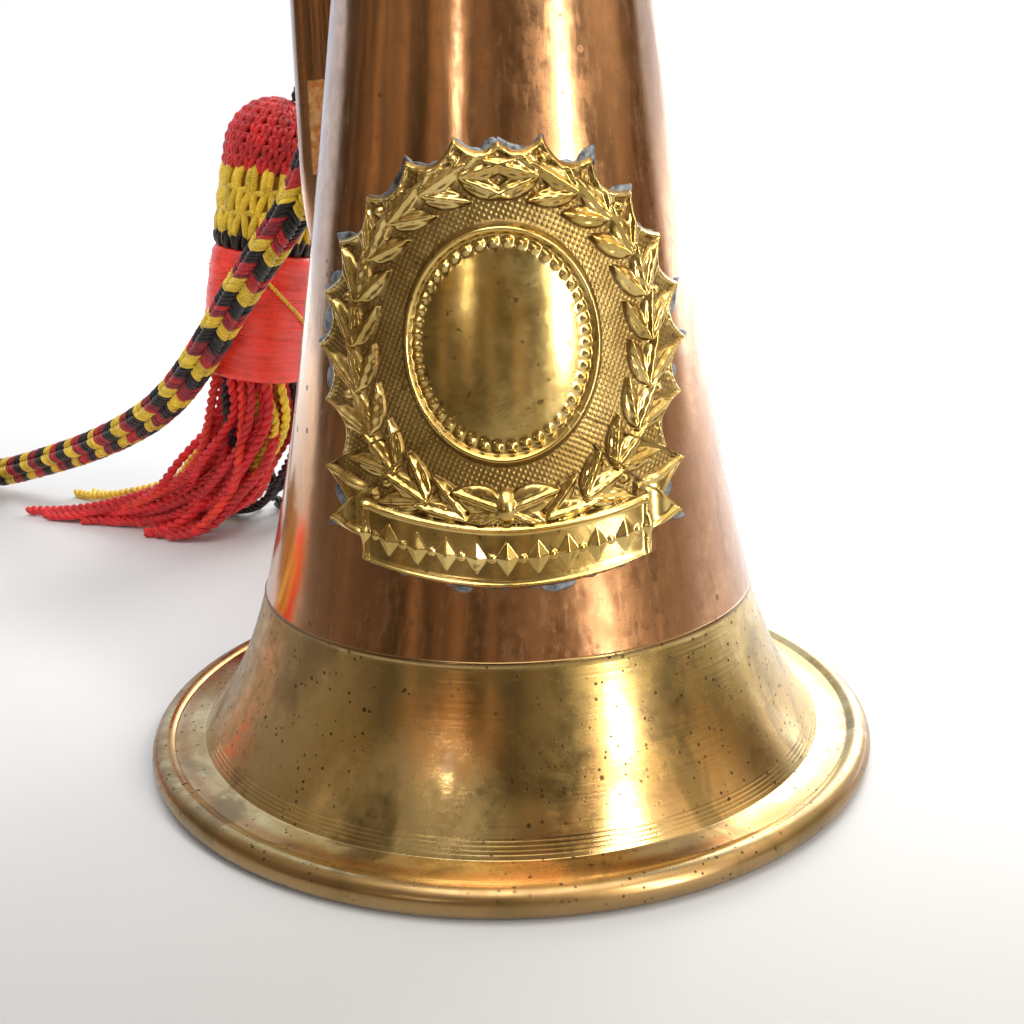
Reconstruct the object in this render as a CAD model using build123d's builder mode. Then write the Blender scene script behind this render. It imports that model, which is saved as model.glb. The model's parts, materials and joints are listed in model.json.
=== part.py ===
# B-flat duty bugle: copper tube wound twice beside a conical bell, brass flare, ferrules and stays,
# with a braided dress cord and two tassels. Bell down on the table, +Z up, origin at the centre of
# the bell's rim. The badge faces -Y, and the coil of tube lies on the +Y side. Millimetres.
import os
from math import cos, exp, hypot, pi, radians, sin, tan

from build123d import *

os.makedirs("parts", exist_ok=True)

# ---- driving dimensions -------------------------------------------------------------------
wall = 0.6  # sheet thickness of the tubes
lap_gap = 0.03  # solder-filled gap of a lap joint, per side

rim_radius = 64.0  # bell mouth, outside of the bead
bead_radius = 2.4
bead_flat_depth = 0.05  # how far the bead is worn flat where it rests
rim_wire_radius = 1.5
bead_slit = 0.7  # open seam of the rolled bead
flange_top = 4.3
crease_radius = 54.9  # where the flare meets its flat flange
seam_height = 29.3  # brass flare joins the copper bell
seam_lap = 7.0  # tongue of the flare inside the bell

top_tangent = 222.0  # height where the upper bows begin
low_tangent_small = 100.0  # height where the small lower bow begins
low_tangent_large = 92.0
front_joint = 140.0  # tube joints on the columns next to the bell
rear_joint = 112.0  # tube joints on the far columns
upper_joint = 214.0
joint_gap = 0.3  # between two tube ends inside a ferrule

# column centres (x, y) in the order in which the air passes them
lead_column = (-31.0, 34.0)
rear_small_column = (-24.0, 84.0)
middle_column = (-12.0, 45.0)
rear_large_column = (0.0, 88.0)
bell_column = (0.0, 0.0)

receiver_bottom = 222.0
receiver_step = 236.0  # top end of the lead pipe inside the receiver
receiver_top = 258.0
pipe_radius = 5.6  # lead pipe at the receiver
throat_radius = 12.7  # bell at the top joint

ferrule_length = 14.0
ferrule_wall = 0.8
ferrule_bead = 0.55
ferrule_gap = 0.12  # between the sleeve and the tube inside it

cord_d = 9.0
lashing_bottom = 128.0
lashing_turns = 3
coil_centre = (-214.0, 141.0)
coil_mean_radius = 47.4
coil_height = 16.5

tassel_cord_d = 3.0
tassel_foot = (-67.2, 121.0, 46.0)  # where the standing tassel's skirt begins
tassel_top = (-55.4, 119.0, 117.0)
loose_tassel_top = (-232.0, 67.0, 14.6)
loose_tassel_foot = (-162.5, 58.0, 14.6)


def save(builder, name):
    """Labels a finished piece and writes its file."""
    builder.part.label = name
    export_step(builder.part, f"parts/{name}.step")


# ---- the bell's outline -------------------------------------------------------------------
def bell_radius(z):
    """Outer radius of bell and flare at height z: a cone plus two ever shorter flares."""
    return 40.21 - 0.1243 * z + 9.92 * exp(-z / 48.68) + 9.83 * exp(-z / 10.12)


def bell_curve(heights, inset=0.0):
    """Points of the outline in the XZ plane, moved inwards by inset."""
    return [(bell_radius(z) - inset, z) for z in heights]


# ---- the tube's taper ---------------------------------------------------------------------
def span(a, b):
    """Distance between two columns."""
    return hypot(b[0] - a[0], b[1] - a[1])


small_low_bow = pi * span(lead_column, rear_small_column) / 2
small_top_bow = pi * span(rear_small_column, middle_column) / 2
large_low_bow = pi * span(middle_column, rear_large_column) / 2
large_top_bow = pi * span(rear_large_column, bell_column) / 2

# distance travelled by the air from the receiver step to each tangent point
lead_end = receiver_step - low_tangent_small
rear_small_start = lead_end + small_low_bow
rear_small_end = rear_small_start + top_tangent - low_tangent_small
middle_start = rear_small_end + small_top_bow
middle_end = middle_start + top_tangent - low_tangent_large
rear_large_start = middle_end + large_low_bow
rear_large_end = rear_large_start + top_tangent - low_tangent_large
air_length = rear_large_end + large_top_bow


def taper(distance):
    """Outer radius of the tube after a distance from the receiver."""
    return pipe_radius + (throat_radius - pipe_radius) * distance / air_length


def lead_radius(z):
    return taper(receiver_step - z)


def rear_small_radius(z):
    return taper(rear_small_start + z - low_tangent_small)


def middle_radius(z):
    return taper(middle_start + top_tangent - z)


def rear_large_radius(z):
    return taper(rear_large_start + z - low_tangent_large)


# ---- builders for what repeats ------------------------------------------------------------
def upright_plane(column):
    """A plane through an upright axis, in which a turned part's profile is drawn: X is radius, Y height."""
    return Plane(origin=(column[0], column[1], 0), x_dir=(1, 0, 0), z_dir=(0, -1, 0))


def upright_axis(column):
    return Axis((column[0], column[1], 0), (0, 0, 1))


def straight_tube(column, z_low, z_high, r_low, r_high):
    """A slightly conical tube between two joints."""
    with BuildPart() as tube:
        for inset, mode in ((0, Mode.ADD), (wall, Mode.SUBTRACT)):
            with BuildSketch(Plane.XY.offset(z_low)):
                with Locations(column):
                    Circle(r_low - inset)
            with BuildSketch(Plane.XY.offset(z_high)):
                with Locations(column):
                    Circle(r_high - inset)
            loft(mode=mode)
    return tube


def bow_tube(start, end, z_start, z_tangent, z_end, r_start, r_end, up):
    """A half-circle bow with its two straight legs, growing evenly from start to end."""
    (ax, ay), (bx, by) = start, end
    side = 1 if up else -1
    crown = z_tangent + side * span(start, end) / 2
    with BuildLine() as route:
        Line((ax, ay, z_start), (ax, ay, z_tangent))
        ThreePointArc((ax, ay, z_tangent), ((ax + bx) / 2, (ay + by) / 2, crown), (bx, by, z_tangent))
        Line((bx, by, z_tangent), (bx, by, z_end))
    path = route.wire()
    with BuildPart() as bow:
        for inset, mode in ((0, Mode.ADD), (wall, Mode.SUBTRACT)):
            with BuildSketch(Plane(origin=(ax, ay, z_start), z_dir=(0, 0, side))) as first:
                Circle(r_start - inset)
            with BuildSketch(Plane(origin=(bx, by, z_end), z_dir=(0, 0, -side))) as last:
                Circle(r_end - inset)
            sweep(sections=[first.sketch, last.sketch], path=path, multisection=True, mode=mode)
    return bow


def ferrule(column, z_mid, r_low, r_high):
    """A joint sleeve that follows the tube's taper, with a rounded bead at each end."""
    z_low = z_mid - ferrule_length / 2
    z_high = z_mid + ferrule_length / 2
    with BuildPart() as sleeve:
        with BuildSketch(upright_plane(column)):
            with BuildLine():
                Polyline(
                    (r_low + ferrule_gap, z_low),
                    (r_low + ferrule_gap + ferrule_wall, z_low),
                    (r_high + ferrule_gap + ferrule_wall, z_high),
                    (r_high + ferrule_gap, z_high),
                    close=True,
                )
            make_face()
            with Locations(
                (r_low + ferrule_gap + ferrule_wall, z_low + ferrule_bead),
                (r_high + ferrule_gap + ferrule_wall, z_high - ferrule_bead),
            ):
                Circle(ferrule_bead)
        revolve(axis=upright_axis(column))
    return sleeve


stay_foot = 4.4
stay_lip = 0.5  # thickness of a foot's edge beyond the surface it sits on
stay_flare = 1.6  # how far a foot runs out before it becomes the rod
stay_rod = 1.5
stay_knob = 2.4
stay_root = 2.6  # how deep a foot is made before it is cut back to the surface


def surface_block(column, z, radius_at, half):
    """The tube or bell round a height, a hair too thick, for cutting a foot to its surface."""
    with BuildPart() as block:
        with Locations((column[0], column[1], z)):
            Cone(radius_at(z - half) + lap_gap, radius_at(z + half) + lap_gap, 2 * half)
    return block


def stay(a, b, z, radius_a, radius_b):
    """A short turned rod with flared feet, soldered between two tubes; a long one has a knob."""
    length = span(a, b)
    dx, dy = (b[0] - a[0]) / length, (b[1] - a[1]) / length
    near, far = radius_a(z), length - radius_b(z)
    knob = min(stay_knob, 0.42 * (far - near - 2 * stay_flare))
    middle = (near + far) / 2
    plane = Plane(origin=(a[0], a[1], z), x_dir=(dx, dy, 0), z_dir=(dy, -dx, 0))
    with BuildPart() as rod:
        with BuildSketch(plane):
            with BuildLine():
                Polyline(
                    (near - stay_root, 0),
                    (near - stay_root, stay_foot),
                    (near + stay_lip, stay_foot),
                    (near + stay_flare * 0.6, stay_rod + 0.7),
                    (near + stay_flare, stay_rod),
                    (far - stay_flare, stay_rod),
                    (far - stay_flare * 0.6, stay_rod + 0.7),
                    (far - stay_lip, stay_foot),
                    (far + stay_root, stay_foot),
                    (far + stay_root, 0),
                    close=True,
                )
            make_face()
            if knob > stay_rod:
                with Locations((middle, 0)):
                    Circle(knob)
                with Locations((middle, -knob)):
                    Rectangle(4 * knob, 2 * knob, mode=Mode.SUBTRACT)
        revolve(axis=Axis((a[0], a[1], z), (dx, dy, 0)))
        for column, radius_at in ((a, radius_a), (b, radius_b)):
            add(surface_block(column, z, radius_at, stay_foot + 2).part, mode=Mode.SUBTRACT)
    return rod


# ---- bell ---------------------------------------------------------------------------------
bell_wall = 0.75
bead_centre = rim_radius - bead_radius
bead_height = bead_radius - bead_flat_depth
lap_top = seam_height + seam_lap
lap_inset = 0.35  # the flare's tongue is drawn in so that it slides inside the bell

with BuildPart() as bell_tube:
    with BuildSketch(Plane.XZ):
        with BuildLine():
            outer = Spline(bell_curve((seam_height, 45, 65, 90, 120, 165, upper_joint)))
            inner = Spline(bell_curve((seam_height, 45, 65, 90, 120, 165, upper_joint), bell_wall))
            Line(outer @ 0, inner @ 0)
            Line(outer @ 1, inner @ 1)
        make_face()
    revolve(axis=Axis.Z)
save(bell_tube, "bell_tube")

with BuildPart() as bell_flare:
    with BuildSketch(Plane.XZ):
        tongue_inset = bell_wall + lap_gap
        with BuildLine():
            skirt = Spline([(crease_radius, flange_top)] + bell_curve((8, 12, 17, 23, seam_height)))
            tongue = Spline(bell_curve((seam_height, seam_height + seam_lap / 2, lap_top), tongue_inset))
            Line(skirt @ 1, tongue @ 0)
            tongue_inside = Spline(
                bell_curve((seam_height, seam_height + seam_lap / 2, lap_top), tongue_inset + lap_inset)
            )
            Line(tongue @ 1, tongue_inside @ 1)
            inside = Spline(
                [(crease_radius - 0.3, flange_top - wall)]
                + bell_curve((8, 12, 17, 23, seam_height), tongue_inset + lap_inset)
            )
            flange_under = Line(inside @ 0, (bead_centre, flange_top - wall))
            flange_edge = Line(flange_under @ 1, (bead_centre, flange_top))
            Line(flange_edge @ 1, skirt @ 0)
        make_face()
        with Locations((bead_centre, bead_height)):
            Circle(bead_radius)
            Circle(rim_wire_radius + 0.05, mode=Mode.SUBTRACT)
        with Locations((bead_centre - bead_radius, bead_height - bead_slit)):
            Rectangle(2 * bead_radius, bead_slit, align=(Align.CENTER, Align.CENTER), mode=Mode.SUBTRACT)
        with Locations((bead_centre, -1)):
            Rectangle(4 * bead_radius, 2, mode=Mode.SUBTRACT)
    revolve(axis=Axis.Z)
save(bell_flare, "bell_flare")

with BuildPart() as rim_wire:
    with Locations((0, 0, bead_height)):
        Torus(bead_centre, rim_wire_radius)
save(rim_wire, "rim_wire")

# ---- tube -----------------------------------------------------------------------------------
half_gap = joint_gap / 2
leadpipe = straight_tube(
    lead_column, front_joint + half_gap, receiver_step, lead_radius(front_joint), pipe_radius
)
save(leadpipe, "leadpipe")

lower_bow_small = bow_tube(
    lead_column,
    rear_small_column,
    front_joint - half_gap,
    low_tangent_small,
    rear_joint - half_gap,
    lead_radius(front_joint),
    rear_small_radius(rear_joint),
    up=False,
)
save(lower_bow_small, "lower_bow_small")

rear_tube_small = straight_tube(
    rear_small_column,
    rear_joint + half_gap,
    upper_joint - half_gap,
    rear_small_radius(rear_joint),
    rear_small_radius(upper_joint),
)
save(rear_tube_small, "rear_tube_small")

upper_bow_small = bow_tube(
    rear_small_column,
    middle_column,
    upper_joint + half_gap,
    top_tangent,
    upper_joint + half_gap,
    rear_small_radius(upper_joint),
    middle_radius(upper_joint),
    up=True,
)
save(upper_bow_small, "upper_bow_small")

front_tube_middle = straight_tube(
    middle_column,
    front_joint + half_gap,
    upper_joint - half_gap,
    middle_radius(front_joint),
    middle_radius(upper_joint),
)
save(front_tube_middle, "front_tube_middle")

lower_bow_large = bow_tube(
    middle_column,
    rear_large_column,
    front_joint - half_gap,
    low_tangent_large,
    rear_joint - half_gap,
    middle_radius(front_joint),
    rear_large_radius(rear_joint),
    up=False,
)
save(lower_bow_large, "lower_bow_large")

rear_tube_large = straight_tube(
    rear_large_column,
    rear_joint + half_gap,
    upper_joint - half_gap,
    rear_large_radius(rear_joint),
    rear_large_radius(upper_joint),
)
save(rear_tube_large, "rear_tube_large")

bell_top_radius = bell_radius(upper_joint)
upper_bow_large = bow_tube(
    rear_large_column,
    bell_column,
    upper_joint + half_gap,
    top_tangent,
    upper_joint + half_gap,
    rear_large_radius(upper_joint),
    bell_top_radius,
    up=True,
)
save(upper_bow_large, "upper_bow_large")


def bell_joint_radius(z):
    """The bell's cone below its top joint, and the end of the big bow above it."""
    return max(bell_radius(z), bell_top_radius)


# ---- ferrules -------------------------------------------------------------------------------
ferrule_places = {
    "leadpipe_ferrule": (lead_column, front_joint, lead_radius),
    "rear_small_lower_ferrule": (rear_small_column, rear_joint, rear_small_radius),
    "rear_small_upper_ferrule": (rear_small_column, upper_joint, rear_small_radius),
    "middle_upper_ferrule": (middle_column, upper_joint, middle_radius),
    "middle_lower_ferrule": (middle_column, front_joint, middle_radius),
    "rear_large_lower_ferrule": (rear_large_column, rear_joint, rear_large_radius),
    "rear_large_upper_ferrule": (rear_large_column, upper_joint, rear_large_radius),
    "bell_ferrule": (bell_column, upper_joint, bell_joint_radius),
}
for name, (column, z_mid, radius_at) in ferrule_places.items():
    r_low, r_high = radius_at(z_mid - ferrule_length / 2), radius_at(z_mid + ferrule_length / 2)
    save(ferrule(column, z_mid, r_low, r_high), name)

# ---- mouthpiece and its receiver --------------------------------------------------------------
socket_clearance = 0.05  # running fit of the shank in the receiver, per side
shank_bottom = 238.0
shank_bottom_radius = 4.5
shank_taper = 0.035  # radius gained per millimetre of height


def shank_radius(z):
    return shank_bottom_radius + shank_taper * (z - shank_bottom)


receiver_radius = 7.2
with BuildPart() as mouthpiece_receiver:
    with BuildSketch(upright_plane(lead_column)):
        with BuildLine():
            Polyline(
                (pipe_radius + lap_gap + 0.12, receiver_bottom),
                (receiver_radius - 0.5, receiver_bottom),
                (receiver_radius, receiver_bottom + 2),
                (receiver_radius - 0.3, receiver_top - 6),
                (receiver_radius + 0.6, receiver_top - 4.5),
                (receiver_radius + 0.9, receiver_top - 2.5),
                (receiver_radius + 0.6, receiver_top - 0.6),
                (receiver_radius, receiver_top),
                (shank_radius(receiver_top) + socket_clearance, receiver_top),
                (shank_radius(receiver_step) + socket_clearance, receiver_step + 0.3),
                (pipe_radius + lap_gap + 0.12, receiver_step + 0.3),
                close=True,
            )
        make_face()
        with Locations(
            (receiver_radius - 0.1, receiver_bottom + 5), (receiver_radius - 0.15, receiver_bottom + 8)
        ):
            Circle(0.5)
    revolve(axis=upright_axis(lead_column))
save(mouthpiece_receiver, "mouthpiece_receiver")

mouthpiece_top = 298.0
cup_radius = 8.4
mouthpiece_rim = 13.3
throat_bore = 1.9
throat_height = 277.0
with BuildPart() as mouthpiece:
    with BuildSketch(upright_plane(lead_column)):
        with BuildLine():
            shank_end = (shank_radius(receiver_top + 2), receiver_top + 2)
            shank = Line((shank_radius(shank_bottom), shank_bottom), shank_end)
            waist = Spline([shank @ 1, (5.9, 268), (8.9, 277), (11.4, 287), (11.6, 291.5)])
            rim = Spline(
                [waist @ 1, (mouthpiece_rim, 293.6), (mouthpiece_rim, 296.4), (11.6, mouthpiece_top)]
            )
            rim_face = Spline([rim @ 1, (10.2, mouthpiece_top - 0.1), (cup_radius, mouthpiece_top - 1.8)])
            cup = Spline([rim_face @ 1, (7.3, 288), (4.9, 281), (throat_bore, throat_height)])
            throat = Line(cup @ 1, (throat_bore, throat_height - 4))
            backbore = Line(throat @ 1, (shank_bottom_radius - 0.7, shank_bottom))
            Line(backbore @ 1, shank @ 0)
        make_face()
    revolve(axis=upright_axis(lead_column))
save(mouthpiece, "mouthpiece")

# ---- stays ----------------------------------------------------------------------------------
stays = {
    "stay_bell_upper": (bell_column, middle_column, 188.0, bell_radius, middle_radius),
    "stay_bell_lower": (bell_column, middle_column, 118.0, bell_radius, middle_radius),
    "stay_lead_middle": (lead_column, middle_column, 196.0, lead_radius, middle_radius),
    "stay_rear_upper": (rear_small_column, rear_large_column, 198.0, rear_small_radius, rear_large_radius),
    "stay_rear_lower": (rear_small_column, rear_large_column, 168.0, rear_small_radius, rear_large_radius),
}
for name, (a, b, z, radius_a, radius_b) in stays.items():
    save(stay(a, b, z, radius_a, radius_b), name)

# a flat web between the lead pipe's bow and the bell, filed flush with both
web_low, web_high = 97.5, 116.5
web_thickness = 2.2
web_length = span(bell_column, lead_column)
web_x, web_y = lead_column[0] / web_length, lead_column[1] / web_length
web_mid = (web_low + web_high) / 2
web_start = bell_radius(web_high) + 0.2
web_end = web_length - lead_radius(web_low) + 1.0
with BuildPart() as stay_web:
    web_centre = (web_start + web_end) / 2
    web_plane = Plane(
        origin=(web_x * web_centre, web_y * web_centre, web_mid),
        x_dir=(web_x, web_y, 0),
        z_dir=(web_y, -web_x, 0),
    )
    with BuildSketch(web_plane):
        RectangleRounded(web_end - web_start, web_high - web_low, 1.5)
    extrude(amount=web_thickness / 2, both=True)
    half_web = (web_high - web_low) / 2 + 2
    with Locations((0, 0, web_mid)):
        Cone(
            bell_radius(web_mid - half_web) + lap_gap,
            bell_radius(web_mid + half_web) + lap_gap,
            2 * half_web,
            mode=Mode.SUBTRACT,
        )
    with Locations((lead_column[0], lead_column[1], web_mid)):
        Cylinder(lead_radius(web_low) + lap_gap, 2 * half_web, mode=Mode.SUBTRACT)
save(stay_web, "stay_web")

# ---- cord rings -----------------------------------------------------------------------------
ring_wire = 1.1
ring_mean = 7.2
lug_hole = 1.25
lug_eye = 2.6
lug_thickness = 2.0
lug_foot = 4.2
lug_stand = 4.6  # from the tube's surface to the hole


def ring_and_lug(z, tag):
    """An eye soldered on the back of the large rear tube, and a loose ring hanging in it."""
    x, y = rear_large_column
    surface = y + rear_large_radius(z)
    eye_y = surface + lug_stand
    with BuildPart() as lug:
        with BuildSketch(Plane.YZ.offset(x)):
            with Locations((eye_y, z)):
                Circle(lug_eye)
            with Locations((surface + lug_stand / 2 - 0.5, z)):
                Rectangle(lug_stand + 1, 2 * lug_eye - 1.2)
            with Locations((eye_y, z)):
                Circle(lug_hole, mode=Mode.SUBTRACT)
        extrude(amount=lug_thickness / 2, both=True)
        with BuildSketch(Plane.XZ.offset(-surface - 0.8)):
            with Locations((x, z)):
                Circle(lug_foot)
        extrude(amount=3)
        add(surface_block(rear_large_column, z, rear_large_radius, 8).part, mode=Mode.SUBTRACT)
    save(lug, f"{tag}_ring_lug")
    with BuildPart() as ring:
        with Locations(Plane(origin=(x, eye_y, z - ring_mean), z_dir=(0, 1, 0)).location):
            Torus(ring_mean, ring_wire)
    save(ring, f"{tag}_cord_ring")


ring_and_lug(190.0, "upper")
ring_and_lug(100.0, "lower")

# ---- badge: a plain oval plaque over a ribbon, bent round the bell and soft-soldered ----------
badge_mid = 72.5
badge_half_width = 28.0
badge_half_height = 31.0
ribbon_mid = 47.0
ribbon_half_width = 27.0
ribbon_half_height = 7.0
solder_layer = 0.45
badge_layer = 1.5


def badge_block(grow):
    """The plaque's outline as a block that reaches from the bell's axis to its front."""
    with BuildPart() as block:
        with BuildSketch(Plane.XZ):
            with Locations((0, badge_mid)):
                Ellipse(badge_half_width + grow, badge_half_height + grow)
            with Locations((0, ribbon_mid)):
                RectangleRounded(2 * (ribbon_half_width + grow), 2 * (ribbon_half_height + grow), 3)
        extrude(amount=60)
    return block


def bell_layer(inner_gap, outer_gap):
    """A layer over the bell's surface, from one gap to another."""
    heights = (30, 45, 65, 90, 115)
    with BuildPart() as layer:
        with BuildSketch(Plane.XZ):
            with BuildLine():
                outside = Spline(bell_curve(heights, -outer_gap))
                inside = Spline(bell_curve(heights, -inner_gap))
                Line(outside @ 0, inside @ 0)
                Line(outside @ 1, inside @ 1)
            make_face()
        revolve(axis=Axis.Z)
    return layer


badge_cores = {
    "badge_plate": (badge_block(0), bell_layer(solder_layer, solder_layer + badge_layer)),
    "badge_solder": (badge_block(0.9), bell_layer(lap_gap, solder_layer - 0.02)),
}
for name, (block, layer) in badge_cores.items():
    with BuildPart() as piece:
        add(block.part)
        add(layer.part, mode=Mode.INTERSECT)
    save(piece, name)

# ---- dress cord -------------------------------------------------------------------------------
cord_r = cord_d / 2
lashing_height = lashing_turns * cord_d
lashing_top = lashing_bottom + lashing_height
hug = 0.15  # the lashing's clearance round the tubes
wound_columns = (
    (rear_small_column, rear_small_radius(lashing_top) + hug),
    (rear_large_column, rear_large_radius(lashing_top) + hug),
)
with BuildPart() as cord_lashing:
    for grow, mode in ((cord_d, Mode.ADD), (0, Mode.SUBTRACT)):
        with BuildSketch(Plane.XY.offset(lashing_bottom)):
            for column, radius in wound_columns:
                with Locations(column):
                    Circle(radius + grow)
            make_hull()
        extrude(amount=lashing_height, mode=mode)
save(cord_lashing, "cord_lashing")

# from the lashing's lowest turn, in front of the standing tassel, down to the table and the coil
cord_route = (
    (-37.6, 81.5, 128.0),
    (-37.6, 81.5, 111.5),
    (-45.5, 82.0, 92.5),
    (-56.5, 88.0, 79.5),
    (-66.5, 96.0, 67.5),
    (-76.5, 103.0, 54.0),
    (-91.0, 114.0, 38.5),
    (-113.0, 132.5, 26.0),
    (-139.0, 154.5, 15.5),
    (-163.0, 174.0, 7.0),
    (-186.0, 187.5, 4.5),
)

# from the coil's top turn down in front of it and into the loose tassel
tail_route = (
    (-265.2, 113.5, 10.4),
    (-265.3, 102.0, 8.6),
    (-263.3, 90.5, 8.2),
    (-258.8, 80.2, 9.6),
    (-251.8, 72.3, 11.8),
    (-242.4, 68.3, 13.8),
    (-232.3, 67.04, 14.6),
)

# from the lashing to the crown of the standing tassel, on the side nearer the bugle
tassel_cord_route = (
    (-41.4, 90.0, 136.0),
    (-41.8, 96.5, 135.2),
    (-42.8, 103.6, 132.8),
    (-44.6, 110.4, 129.0),
    (-47.0, 115.9, 124.2),
    (-51.18, 118.67, 116.12),
)


def arc_radii(points):
    """The largest arc that each corner's two runs allow."""
    corners = [Vector(*p) for p in points]
    runs = [b - a for a, b in zip(corners, corners[1:])]
    radii = []
    for before, after in zip(runs, runs[1:]):
        shorter = min(before.length, after.length)
        radii.append(0.45 * shorter / tan(radians(before.get_angle(after)) / 2))
    return radii


def cord_tube(points, diameter, name):
    """A cord's plain tube along straight runs joined by tangent arcs."""
    radii = arc_radii(points)
    print(name, "radii", [round(r, 1) for r in radii])
    with BuildLine() as route:
        FilletPolyline(*points, radius=radii)
    path = route.wire()
    with BuildPart() as tube:
        with BuildSketch(Plane(origin=path @ 0, z_dir=path % 0)):
            Circle(diameter / 2)
        sweep(path=path)
    straight_volume = pi * diameter**2 / 4 * path.length
    share = tube.part.volume / straight_volume
    print(name, "length", round(path.length, 1), "volume share", round(share, 4))
    return tube


save(cord_tube(cord_route, cord_d, "cord_run"), "cord_run")
save(cord_tube(tail_route, cord_d, "cord_tail"), "cord_tail")
save(cord_tube(tassel_cord_route, tassel_cord_d, "tassel_cord"), "tassel_cord")

coil_half_width = cord_d + 0.2
with BuildPart() as cord_coil:
    with BuildSketch(upright_plane(coil_centre)):
        with Locations((coil_mean_radius, coil_height / 2)):
            RectangleRounded(2 * coil_half_width, coil_height, cord_r)
    revolve(axis=upright_axis(coil_centre))
save(cord_coil, "cord_coil")

tie_angle = radians(20)
tie_wall = 1.2
tie_length = 9.0
tie_room = 0.3
tie_plane = Plane(
    origin=(
        coil_centre[0] + coil_mean_radius * cos(tie_angle),
        coil_centre[1] + coil_mean_radius * sin(tie_angle),
        0,
    ),
    x_dir=(cos(tie_angle), sin(tie_angle), 0),
    z_dir=(sin(tie_angle), -cos(tie_angle), 0),
)
tie_inside = coil_height + tie_room - tie_wall
with BuildPart() as coil_tie:
    with BuildSketch(tie_plane):
        with Locations((0, tie_wall + tie_inside / 2)):
            RectangleRounded(2 * (coil_half_width + tie_room + tie_wall), tie_inside + 2 * tie_wall, cord_r)
            RectangleRounded(
                2 * (coil_half_width + tie_room), tie_inside, cord_r - tie_wall, mode=Mode.SUBTRACT
            )
    extrude(amount=tie_length / 2, both=True)
save(coil_tie, "coil_tie")

# ---- tassels ----------------------------------------------------------------------------------
head_radius = 13.8
head_share = 0.53  # part of the height between skirt and top that the crocheted head takes
mould_radius = 11.2
neck_radius = 9.2
whipping_radius = 14.6
skirt_top_radius = 13.0


def tassel_plane(foot, top):
    """A plane at a tassel's neck, its Z axis pointing at the tassel's top."""
    axis = Vector(*top) - Vector(*foot)
    return Plane(origin=foot, z_dir=axis), axis.length


def tassel_body(foot, top, tag):
    """Turned wooden mould, crocheted cover and thread-whipped neck, all round one axis."""
    neck, height = tassel_plane(foot, top)
    plane = Plane(origin=foot, x_dir=neck.x_dir, z_dir=neck.y_dir * -1)
    axis = Axis(foot, neck.z_dir)
    neck_top = height * (1 - head_share)
    shoulder = height - head_radius
    with BuildPart() as mould:
        with BuildSketch(plane):
            with BuildLine():
                Polyline(
                    (0, 1), (neck_radius, 1), (neck_radius, neck_top), (mould_radius, neck_top + 3),
                    (mould_radius, shoulder), (mould_radius * 0.6, height - 5), (0, height - 3.2),
                    close=True,
                )
            make_face()
        revolve(axis=axis)
    save(mould, f"{tag}_mould")

    with BuildPart() as cover:
        with BuildSketch(plane):
            with BuildLine():
                Line((head_radius, neck_top + 2.5), (head_radius, shoulder))
                crown = CenterArc((0, height - head_radius), head_radius, start_angle=0, arc_size=90)
                Line(crown @ 1, (0, height - 2.6))
                Polyline(
                    (0, height - 2.6),
                    (mould_radius * 0.6 + 0.35, height - 4.4),
                    (mould_radius + 0.35, shoulder),
                    (mould_radius + 0.35, neck_top + 0.4),
                    (head_radius - 1, neck_top + 0.4),
                    (head_radius, neck_top + 2.5),
                )
            make_face()
        revolve(axis=axis)
    save(cover, f"{tag}_cover")

    with BuildPart() as whipping:
        with BuildSketch(plane):
            with BuildLine():
                band = ThreePointArc(
                    (whipping_radius - 1.2, 0.5),
                    (whipping_radius, neck_top / 2),
                    (whipping_radius - 1.0, neck_top - 0.3),
                )
                Polyline(band @ 1, (neck_radius + 0.2, neck_top - 0.3), (neck_radius + 0.2, 0.5), band @ 0)
            make_face()
        revolve(axis=axis)
    save(whipping, f"{tag}_whipping")


tassel_body(tassel_foot, tassel_top, "tassel_a")
tassel_body(loose_tassel_foot, loose_tassel_top, "tassel_b")

# the standing tassel's skirt spreads over the table towards -X
with BuildPart() as tassel_a_skirt:
    neck_plane, _ = tassel_plane(tassel_foot, tassel_top)
    with BuildSketch(neck_plane):
        Circle(skirt_top_radius)
    with BuildSketch(Plane.XY.offset(10)):
        with Locations((-78, 122)):
            Ellipse(27, 17)
    with BuildSketch(Plane.XY):
        with Locations((-86, 124)):
            Ellipse(44, 21)
    loft(ruled=True)
save(tassel_a_skirt, "tassel_a_skirt")

# the loose tassel's skirt lies flat on the table
with BuildPart() as tassel_b_skirt:
    lying_plane, _ = tassel_plane(loose_tassel_foot, loose_tassel_top)
    skirt_axis = lying_plane.z_dir * -1
    end = Vector(*loose_tassel_foot) + skirt_axis * 36
    with BuildSketch(Plane(origin=loose_tassel_foot, x_dir=(0, 0, 1), z_dir=skirt_axis)):
        Circle(skirt_top_radius)
    with BuildSketch(Plane(origin=(end.X, end.Y, 6.5), x_dir=(0, 0, 1), z_dir=skirt_axis)):
        Ellipse(6.4, 17)
    loft()
save(tassel_b_skirt, "tassel_b_skirt")
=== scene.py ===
"""Looks of the bugle: tarnished copper and brass, a stamped badge, a braided cord and two tassels."""

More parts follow.
